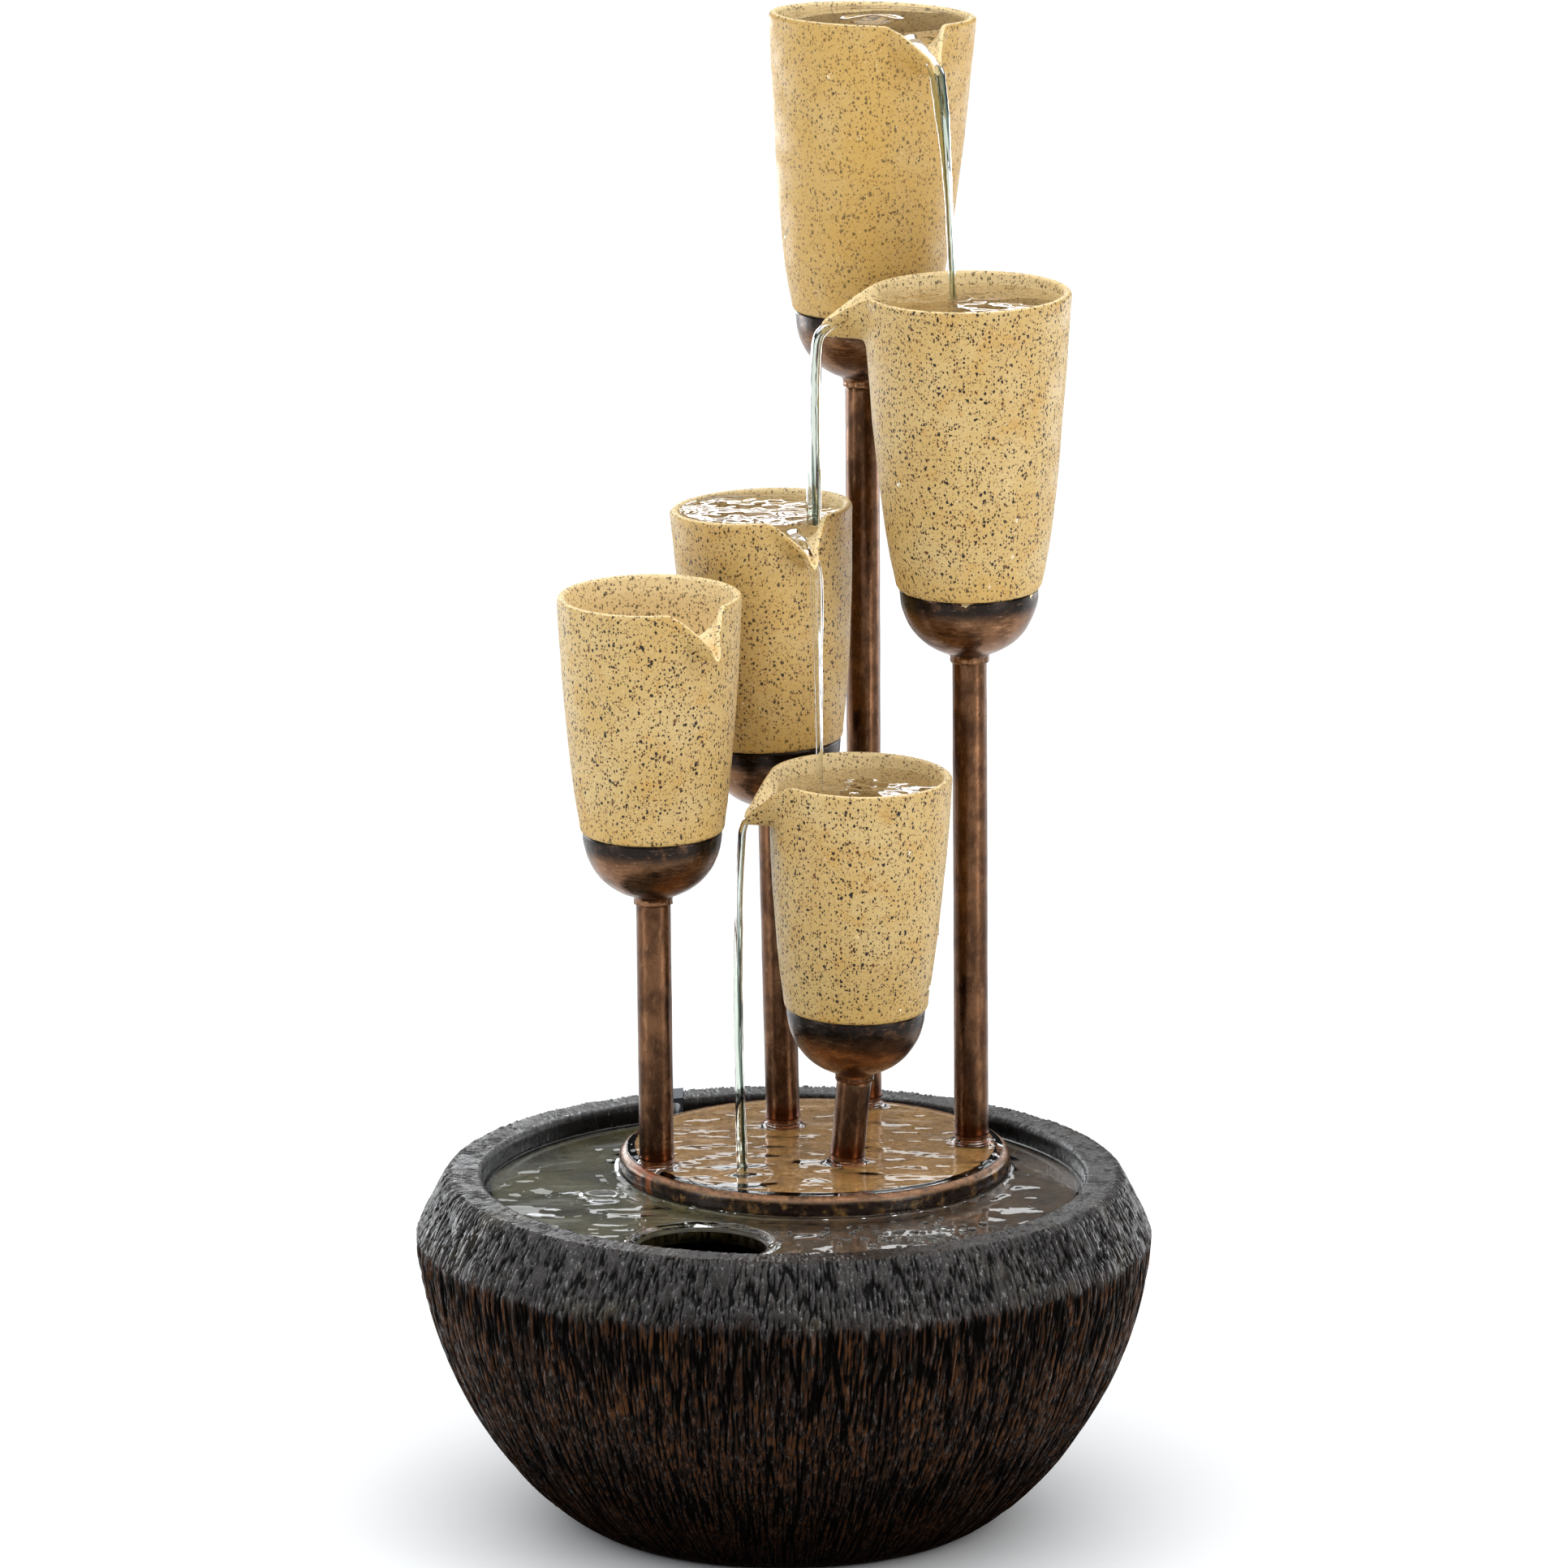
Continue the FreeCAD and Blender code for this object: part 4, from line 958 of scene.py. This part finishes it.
def lug(turn):
    """A rounded shelf that runs from the wall's inside towards the middle, under the deck."""
    half_w = LUGS["width"] / 2
    front_y = 9 - half_w
    outline = np.vstack([
        arc((-half_w + 3, front_y), 3, 180, 270, 6), arc((half_w - 3, front_y), 3, 270, 360, 6),
        arc((half_w - 1, 16), 1, 0, 90, 3), arc((-half_w + 1, 16), 1, 90, 180, 3),
    ])
    outline[:, 1] -= outline[:, 1].min()
    rows = []
    height = LUGS["height"]
    for inset, drop in ((0.9, 0.0), (0.25, 0.25), (0.0, 0.9), (0.0, height - 0.6), (0.6, height)):
        scale = 1 - inset / half_w
        rows.append([(LUGS["inner"] + y, x * scale, LUGS["top"] - drop) for x, y in outline])
    points = np.array(rows)[::-1]
    c, s = math.cos(turn), math.sin(turn)
    x, y = points[..., 0] * c - points[..., 1] * s, points[..., 0] * s + points[..., 1] * c
    return shell(np.stack([x, y, points[..., 2]], -1)[:, ::-1])


def feet():
    """Where the five poles stand on the plate."""
    return [tier_frame(number)["foot"] for number in range(1, 6)]


def build_plate(mats):
    """The plate: its bead, fine dents, and values for the painted highlights on the bead, the painted shade at its
    side and the rust.
    """
    flat_r = PLATE_R - PLATE_BEAD
    profile = np.vstack([
        even([(3, DECK_TOP), (flat_r, DECK_TOP)], 10)[:-1],
        arc((flat_r, DECK_TOP + PLATE_BEAD), PLATE_BEAD, -90, 0, 7),
        arc((flat_r, PLATE_TOP - PLATE_BEAD), PLATE_BEAD, 0, 90, 9),
        even([(flat_r, PLATE_TOP), (3, PLATE_TOP)], 2.2)[1:],
    ])
    rings = turned(profile, 400)
    x, y, z = np.moveaxis(rings, -1, 0)
    radius = np.maximum(np.hypot(x, y), 1)
    dent = 0.35 * (noise(x / 26, y / 26, z / 20, 21) - 0.5) + 0.14 * (noise(x / 5, y / 5, z / 5, 22) - 0.5)
    push_out(rings, radius, dent, ramp(PLATE_R - 14, PLATE_R - 4, radius))
    rings[..., :2] += PLATE_CENTRE
    top = ramp(PLATE_TOP - 3.5, PLATE_TOP - 1.5, z)
    # bead and side: where the material paints highlights on the bead and shade at the side.
    values = {"bead": top * ramp(PLATE_R - 8.5, PLATE_R - 4.5, radius),
              "side": (1 - top) * ramp(PLATE_R - 8, PLATE_R - 3, radius)}
    rust = 0 * x
    for foot in feet():
        rust = np.maximum(rust, fade(apart(x, y, foot) - COLLAR_R, 5.0))
    left = feet()[3] - [*PLATE_CENTRE, 0]
    toward = math.atan2(left[1], left[0]) + 0.12
    heading = np.arctan2(y - PLATE_CENTRE[1], x - PLATE_CENTRE[0])
    off = np.abs((heading - toward + math.pi) % TAU - math.pi) * radius
    values["rust"] = np.maximum(rust, hump(off, 3.4) * ramp(PLATE_R - 16, PLATE_R - 9, radius))
    material = mats["plate_copper"]
    plate = add("copper_plate", shell(rings), material, "head", ["base_plate"], values)
    for foot in feet():
        carve(plate, drum(TAIL_HOLE_R, DECK_TOP - 2, PLATE_TOP + 2, foot, 32))


def build_deck(mats):
    """The deck, with its return hole, the hole for the pump's lead, and one hole for each spigot."""
    bottom = DECK_BOTTOM
    edge = RIM_INNER_R - 0.7
    profile = np.vstack([
        even([(3, bottom), (edge - 1, bottom)], 12),
        [(edge, bottom + 1), (edge, DECK_TOP - 1)],
        even([(edge - 1, DECK_TOP), (3, DECK_TOP)], 3),
    ])
    rings = turned(profile, 256)
    x, y, z = np.moveaxis(rings, -1, 0)
    rings[..., 2] -= 0.25 * (1 + noise(x / 14, y / 14, 0, 31)) * ramp(DECK_TOP - 1, DECK_TOP, z)
    shade = ramp(RETURN_HOLE_R + 6, RETURN_HOLE_R + 1.5, apart(x, y, RETURN_HOLE))
    deck = add("stone_deck", shell(rings), mats["wet_deck"], "head", ["deck"], {"shade": shade})
    mouth_r = RETURN_HOLE_R + 2.2
    hole = np.vstack([
        [(RETURN_HOLE_R, bottom - 2), (RETURN_HOLE_R, DECK_TOP - 2.0)],
        arc((mouth_r, DECK_TOP - 2.2), 2.2, 180, 90, 6),
        [(mouth_r, DECK_TOP + 3)],
    ])
    carve(deck, shell(turned(hole, 128) + np.array([*RETURN_HOLE, 0])))
    lead_y = math.sqrt(RIM_INNER_R ** 2 - NOTCH_X ** 2)
    carve(deck, drum(5.5, bottom - 2, DECK_TOP + 2, (NOTCH_X, lead_y), 32))
    for foot in feet():
        carve(deck, drum(TAIL_HOLE_R, bottom - 2, DECK_TOP + 2, foot, 32))


def ripples(x, y, sizes, seed):
    """Sum of noises, each of a height and of lengths along X and Y."""
    return sum(high * noise(x / long, y / wide, 0, seed + i) for i, (high, long, wide) in enumerate(sizes))


def build_deck_water(mats):
    """Shallow water on the deck: rippled, drawn down at the return hole and up along the walls."""
    level = DECK_TOP + 1.5
    edge = RIM_INNER_R - 0.25
    low = DECK_TOP + 0.15
    profile = np.vstack([even([(3, low), (edge, low)], 8), even([(edge, level), (3, level)], 1.5)])
    rings = turned(profile, 512)
    x, y, z = np.moveaxis(rings, -1, 0)
    top = z > level - 0.1
    radius = np.hypot(x, y)
    hole = apart(x, y, RETURN_HOLE) + 1.0 * noise(x / 7, y / 7, 0, 60) - RETURN_HOLE_R
    plate = apart(x, y, PLATE_CENTRE) - PLATE_R
    dimple = np.hypot(x - DIMPLE[0], (y - DIMPLE[1]) / 1.2) + 1.5 * noise(x / 9, y / 9, 0, 64)
    wave = ripples(x, y, [(0.50, 32, 20), (0.15, 13, 8), (0.03, 3, 3)], 61)
    wave = wave * ramp(2, 18, edge - radius) * (1 - 0.45 * ramp(-20, 60, x))
    wave += 0.9 * fade(edge - radius, 1.5)
    wave += 1.3 * fade(plate, 1.9) + 0.30 * hump(plate - 9, 3.0)
    wave += 0.8 * hump(hole - 4.5, 1.7) - 1.2 * (1 - ramp(0, 4, hole))
    wave += 0.7 * hump(dimple - 9.0, 2.3) - 0.7 * hump(dimple, 5.5)
    rings[..., 2] = np.where(top, np.maximum(z + wave, low + 0.2), z)
    pond = add_water("deck_water", shell(rings), mats["water"], "head")
    carve(pond, drum(PLATE_R + 0.05, low - 2, level + 6, PLATE_CENTRE, 256))
    carve(pond, drum(RETURN_HOLE_R + 0.9, low - 2, level + 6, RETURN_HOLE, 160))


def build_plate_film(mats, impact):
    """Film of water on the plate, drawn up round the feet, ringed where the last stream lands."""
    low = PLATE_TOP + 0.06
    level = PLATE_TOP + 1.1
    edge = PLATE_R - 4.6
    underside = even([(3, low), (edge + 0.6, low)], 6)
    rings = turned(np.vstack([underside, even([(edge, level - 0.5), (3, level)], 1.1)]), 480)
    rings[..., :2] += PLATE_CENTRE
    x, y, z = np.moveaxis(rings, -1, 0)
    top = z > low + 0.2
    hit = apart(x, y, impact)
    wave = ripples(x, y, [(0.34, 30, 14), (0.10, 12, 6), (0.03, 4, 3)], 71)
    wave += 0.60 * np.cos(hit / 3.4) * fade(hit, 20.0)
    wave -= 0.8 * (1 - ramp(0, 4, edge - apart(x, y, PLATE_CENTRE)))
    for foot in feet():
        wave += 1.7 * fade(apart(x, y, foot) - COLLAR_R, 2.6)
    rings[..., 2] = np.where(top, np.maximum(z + wave, low + 0.12), z)
    film = add_water("plate_water", shell(rings), mats["water"], "head")
    for foot in feet():
        carve(film, drum(COLLAR_R + 0.05, low - 2, level + 8, foot, 48))


def build_pole(mats, number, tier):
    """A tube with a rolled lip at its foot and slight dents."""
    length = np.linalg.norm(tier["top"] - tier["foot"])
    lip = FOOT_GAP + np.array([0.0, 0.3, 0.9, 1.6, 2.6])
    rise = np.r_[lip, np.arange(FOOT_GAP + 5, length - 2, 4.0), length]
    outside = [(POLE_R + 0.55 * hump(z - FOOT_GAP - 0.9, 0.9) - 0.02, z) for z in rise]
    profile = [(POLE_BORE_R, length), (POLE_BORE_R, FOOT_GAP + 0.4)] + outside
    rings = turned(profile, 48)
    x, y, z = np.moveaxis(rings, -1, 0)
    push_out(rings, POLE_R, 0.10 * noise(x / 6, y / 6, z / 22, number + 80) * ramp(9, 9.3, np.hypot(x, y)))
    add("copper_pole_%d" % number, shell(placed(rings, tier["foot"], tier["axis"]), loop=True),
        mats["pole_copper"], "tier_%d" % number, ["pole_%d" % number],
        {"foot": ramp(FOOT_GAP + 22, FOOT_GAP, z)})


def build_cradle(mats, number, tier):
    """A spun half-round bowl, a little fuller than a ball, brazed onto the pole's end."""
    rim = CRADLE_H - 0.05
    turn = np.linspace(0, math.pi / 2, 26)
    reach, depth = 38.3, 38.4
    power = 2 / 2.12
    bowl = np.stack([reach * np.cos(turn) ** power, rim - depth * np.sin(turn) ** power], -1)
    bowl = bowl[bowl[:, 0] > 12.0]
    neck = [(POLE_R + 0.05, -3.0), (10.2, -3.1), (10.9, -2.4), (10.7, -1.2), (10.6, 0.2), (11.3, 1.4)]
    inner = [(r - CRADLE_WALL, h) if r > 20 else (r - 1.2, h + 2.2) for r, h in bowl]
    inner = [(r, min(h, rim)) for r, h in inner]
    rolled = [(reach - 0.05, rim - 0.5), (reach - 0.45, rim), (reach - 1.7, rim)]
    profile = neck + bowl[::-1].tolist() + rolled + inner[1:] + [(POLE_R + 0.05, 3.0)]
    rings = turned(even(profile, 1.5), 160)
    x, y, z = np.moveaxis(rings, -1, 0)
    radius = np.hypot(x, y)
    dent = 0.30 * noise(x / 13, y / 13, z / 13, number + 90) + 0.10 * noise(x / 3, y / 3, z / 3, number + 95)
    weld = 0.5 * noise(x / 2.6, y / 2.6, z / 2.6, number + 99) * ramp(5, 1, z)
    push = dent * ramp(rim, rim - 5, z) * ramp(0, 6, z) - 0.15 + weld
    outer = np.arange(len(rings))[:, None] < len(neck) + 0.66 * len(rings)
    push_out(rings, np.maximum(radius, 1), np.where(outer & (radius > 10.0), push, 0))
    angle = np.arctan2(y, x)
    drip = ramp(0.15, 0.6, noise(3 * np.cos(angle), 3 * np.sin(angle), 0.3, number + 120)) * 8.0
    drip = ramp(0, 1.2, z - rim + drip * (number == 2) + 1.0) * 0.9
    # band marks the top of the cradle, which the material paints black as painted shade.
    values = {"band": ramp(rim - 15, rim - 6, z), "drip": drip}
    add("copper_cradle_%d" % number, shell(placed(rings, tier["top"], tier["lean"]), loop=True),
        mats["cradle_copper"], "tier_%d" % number, ["cradle_%d" % number], values)


def build_cup(mats, number, tier):
    """A cup; the highest one has a hole in its floor for the water to rise through."""
    rings, values = cup_rings(number, tier)
    cup = add("stoneware_cup_%d" % number, shell(in_cup(rings, tier)),
              mats["speckled_ware"], "tier_%d" % number, ["cup_%d" % number], values)
    if number == 1:
        post = turned([(INLET_R, -60), (INLET_R, 10)], 48)
        carve(cup, shell(placed(post + UP * CRADLE_H, tier["top"], tier["lean"])))


def build_tiers(mats):
    tiers = {number: tier_frame(number) for number in range(1, 6)}
    for number, tier in tiers.items():
        build_pole(mats, number, tier)
        build_cradle(mats, number, tier)
        build_cup(mats, number, tier)
    return tiers


def water_height(tier):
    """Height in the row frame of the water in a cup."""
    level = CUPS[tier["cup"]]["wall"][-1][1] - tier["level"]
    return in_cup(np.array([[0.0, 0.0, level]]), tier)[0][2]


def cup_place(point, tier):
    """A point of the row frame in the cup's own plan, as (x, y)."""
    axes = placed(np.eye(3), (0, 0, 0), tier["lean"], tier["spout"])
    return (axes @ (np.asarray(point) - tier["top"]))[:2]


def build_water(mats, tiers):
    """Water in four cups, and the four streams from cup to cup to plate."""
    runs = [
        # from and into which cup, how far out and sideways it drifts, its wobble, how dark, half widths
        (1, 2, 13.0, 2.5, 1.0, 0.9, [5.2, 4.6, 4.8, 4.2, 3.0, 3.2]),
        (2, 3, 5.0, 1.0, -1.6, 0.8, [5.6, 6.2, 6.8, 6.0, 4.8, 4.2]),
        (3, 5, 3.0, 0.5, 0.5, 0.15, [5.0, 4.2, 3.9, 3.4, 2.7, 2.6]),
        (5, None, 2.5, 2.0, 1.0, 0.8, [4.8, 4.2, 4.0, 3.4, 2.6, 3.0]),
    ]
    landing = {1: (0.0, 0.0)}
    for start, into, reach, sway, wobble, dark, widths in runs:
        end_z = water_height(tiers[into]) - 1.5 if into else PLATE_TOP + 1.0
        path = stream_path(tiers[start], reach, sway, end_z, wobble)
        rings, values = stream_rings(path, widths, dark, 200 + start)
        add_water("stream_%d" % start, shell(rings), mats["stream_water"], "tier_%d" % start, values)
        if into:
            landing[into] = cup_place(path[-1], tiers[into])
        else:
            build_plate_film(mats, path[-1])
    for number, drop in landing.items():
        tier = tiers[number]
        rings = in_cup(cup_water_rings(number, tier, drop), tier)
        add_water("cup_water_%d" % number, shell(rings), mats["water"], "tier_%d" % number)
        build_droplets(mats, number, tier)


def bead(radius, flat, seed):
    """A small bead of water on a surface at z = 0: a cap a little rounder than half a ball."""
    turn = np.linspace(-0.5, math.pi / 2 - 0.15, 7)
    rings = turned(np.stack([radius * np.cos(turn), radius * flat * np.sin(turn)], -1), 16)
    rings[..., 0] *= 1 + 0.12 * math.sin(seed)
    return rings


def build_droplets(mats, number, tier):
    """Beads of water that cling to the outside of a wet cup."""
    rng = np.random.default_rng(300 + number)
    height = CUPS[tier["cup"]]["wall"][-1][1]
    parts = []
    for index in range(11):
        turn = rng.uniform(0.5, TAU - 0.5)
        z = rng.uniform(6, height - 12)
        cap = bead(rng.uniform(0.8, 1.7), 0.55, index)
        cap[..., 1] *= 1.25
        radius = wall_radius(tier, z) - 0.62
        c, s = math.cos(turn), math.sin(turn)
        out = np.array([s, -c, 0.0])
        right = np.array([c, s, 0.0])
        points = radius * out + z * UP + cap[..., :1] * right + cap[..., 1:2] * UP + cap[..., 2:] * out
        parts.append(shell(in_cup(points[:, ::-1], tier)))
    add_water("droplets_%d" % number, join(parts), mats["water"], "tier_%d" % number)


def build_foam(mats):
    """Bubbles that drift on the deck, in a patch in front of the plate on the right and a few elsewhere."""
    rng = np.random.default_rng(400)
    level = DECK_TOP + 1.55
    parts = []
    in_patch, total = 170, 210
    while len(parts) < total:
        clump = len(parts) < in_patch
        x = rng.normal(70, 22) if clump else rng.uniform(-120, 140)
        y = rng.normal(-88, 15) if clump else rng.uniform(-150, 20)
        radius = rng.gamma(3.0, 0.42) if clump else rng.uniform(0.5, 1.3)
        clear = [math.hypot(x, y) < RIM_INNER_R - 5, apart(x, y, PLATE_CENTRE) > PLATE_R + 3,
                 apart(x, y, RETURN_HOLE) > RETURN_HOLE_R + 5, radius < 3.4]
        if all(clear):
            parts.append(shell(bead(radius, 0.62, len(parts)) + np.array([x, y, level])))
    add_water("foam", join(parts), mats["water"], "head")


def finish_cad_nodes(mats):
    """CAD nodes that stay: each takes its slot's material, and a small bevel on its edges."""
    for part in frame["record"]["subparts"]:
        node = frame["nodes"][part["node"]]
        if node.hide_render:
            continue
        node.data.materials.clear()
        node.data.materials.append(mats[part["material_slot"]])
        bevel = node.modifiers.new("soft_edges", "BEVEL")
        bevel.width = 0.35 * MM
        bevel.segments = 2
        bevel.limit_method = "ANGLE"
        bevel.angle_limit = math.radians(40)


# ---------------------------------------------------------------- stage

def build_floor():
    """A plain pale floor, 60 m wide."""
    s = Shader("pale_floor", Roughness=0.6, Specular_IOR_Level=0.2)
    tone = s.mix(s.ramp(s.noise(900.0, 2.0), 0.3, 0.7), (0.90, 0.90, 0.90), (0.93, 0.93, 0.93))
    material = s.finish(Base_Color=tone)
    half = 3e4
    corners = [(x, y, -0.2) for x, y in ((-half, -half), (half, -half), (half, half), (-half, half))]
    add("floor", (corners, [[0, 1, 2, 3]]), material, None)


def area_light(name, place, aim, size, power, tint=(1, 1, 1), gloss_only=False):
    """A rectangular lamp that points at aim; a gloss_only one shows in reflections and lights nothing."""
    light = bpy.data.lights.new(name, "AREA")
    light.shape = "RECTANGLE"
    light.size, light.size_y = size
    light.energy = power
    light.color = tint
    lamp = bpy.data.objects.new(name, light)
    bpy.context.scene.collection.objects.link(lamp)
    lamp.visible_camera = False
    lamp.visible_diffuse = not gloss_only
    lamp.visible_transmission = not gloss_only
    lamp.location = place
    lamp.rotation_euler = (Vector(aim) - Vector(place)).to_track_quat("-Z", "Y").to_euler()


def build_lights():
    """Two side panels, cards for the wet surfaces to mirror, and a dome that is dark near the horizon."""
    area_light("right_panel", (1.25, -0.85, 0.80), (0, 0, 0.72), (0.34, 1.55), 9.0)
    area_light("left_panel", (-1.3, -0.55, 0.80), (0, 0, 0.72), (0.28, 1.55), 6.5, (0.93, 0.97, 1.0))
    cards = [
        # name, place, size, watts
        ("cup_card", (-0.02, 1.5, 0.855), (0.60, 0.13), 1.1),
        ("deck_card", (0.12, 1.5, 0.70), (0.50, 0.07), 0.30),
        ("left_card", (-0.55, 1.5, 0.80), (0.80, 0.26), 1.2),
        ("rim_card", (-0.61, 1.5, 0.56), (0.72, 0.22), 4.2),
        ("right_card", (0.66, 1.5, 0.62), (0.62, 0.30), 1.3),
        ("far_left_card", (-1.35, 1.1, 0.42), (0.80, 0.60), 8.5),
        ("far_right_card", (1.40, 1.1, 0.42), (0.80, 0.60), 6.5),
    ]
    for name, place, size, power in cards:
        area_light(name, place, (0, 0, place[2]), size, power, (0.95, 0.98, 1.0), gloss_only=True)
    world = bpy.data.worlds.new("studio")
    bpy.context.scene.world = world
    world.use_nodes = True
    tree = world.node_tree
    back = tree.nodes["Background"]
    place = make_node(tree, "TexCoord").outputs["Generated"]
    height = make_node(tree, "SeparateXYZ", {"Vector": place}).outputs["Z"]
    inputs = {"Value": height, "From Min": 0.34, "From Max": 0.44, "To Min": 0.035, "To Max": 0.98}
    low = make_node(tree, "MapRange", inputs, interpolation_type="SMOOTHSTEP").outputs["Result"]
    inputs = {"Value": height, "From Min": 0.44, "From Max": 1.0, "To Min": 0.0, "To Max": 0.95}
    high = make_node(tree, "MapRange", inputs).outputs["Result"]
    glow = make_node(tree, "Math", {0: low, 1: high}, operation="ADD").outputs[0]
    tree.links.new(glow, back.inputs["Strength"])
    back.inputs["Color"].default_value = (0.97, 0.985, 1.0, 1.0)


def build_camera():
    """Straight from the front and 13 degrees down, far enough off to flatten the perspective."""
    distance, height, down = 5.3, 1.6398, 13.046
    camera = bpy.data.cameras.new("camera")
    camera.lens = 229.5
    camera.sensor_width = 36.0
    camera.clip_end = 60.0
    view = bpy.data.objects.new("camera", camera)
    bpy.context.scene.collection.objects.link(view)
    view.location = (0.0, -distance, height)
    view.rotation_euler = (math.radians(90 - down), 0.0, 0.0)
    bpy.context.scene.camera = view


def main():
    bpy.context.scene.view_settings.view_transform = "Standard"
    mats = make_materials()
    build_camera()
    build_lights()
    build_floor()
    build_basin(mats)
    build_plate(mats)
    build_deck(mats)
    build_deck_water(mats)
    build_foam(mats)
    tiers = build_tiers(mats)
    build_water(mats, tiers)
    finish_cad_nodes(mats)


main()
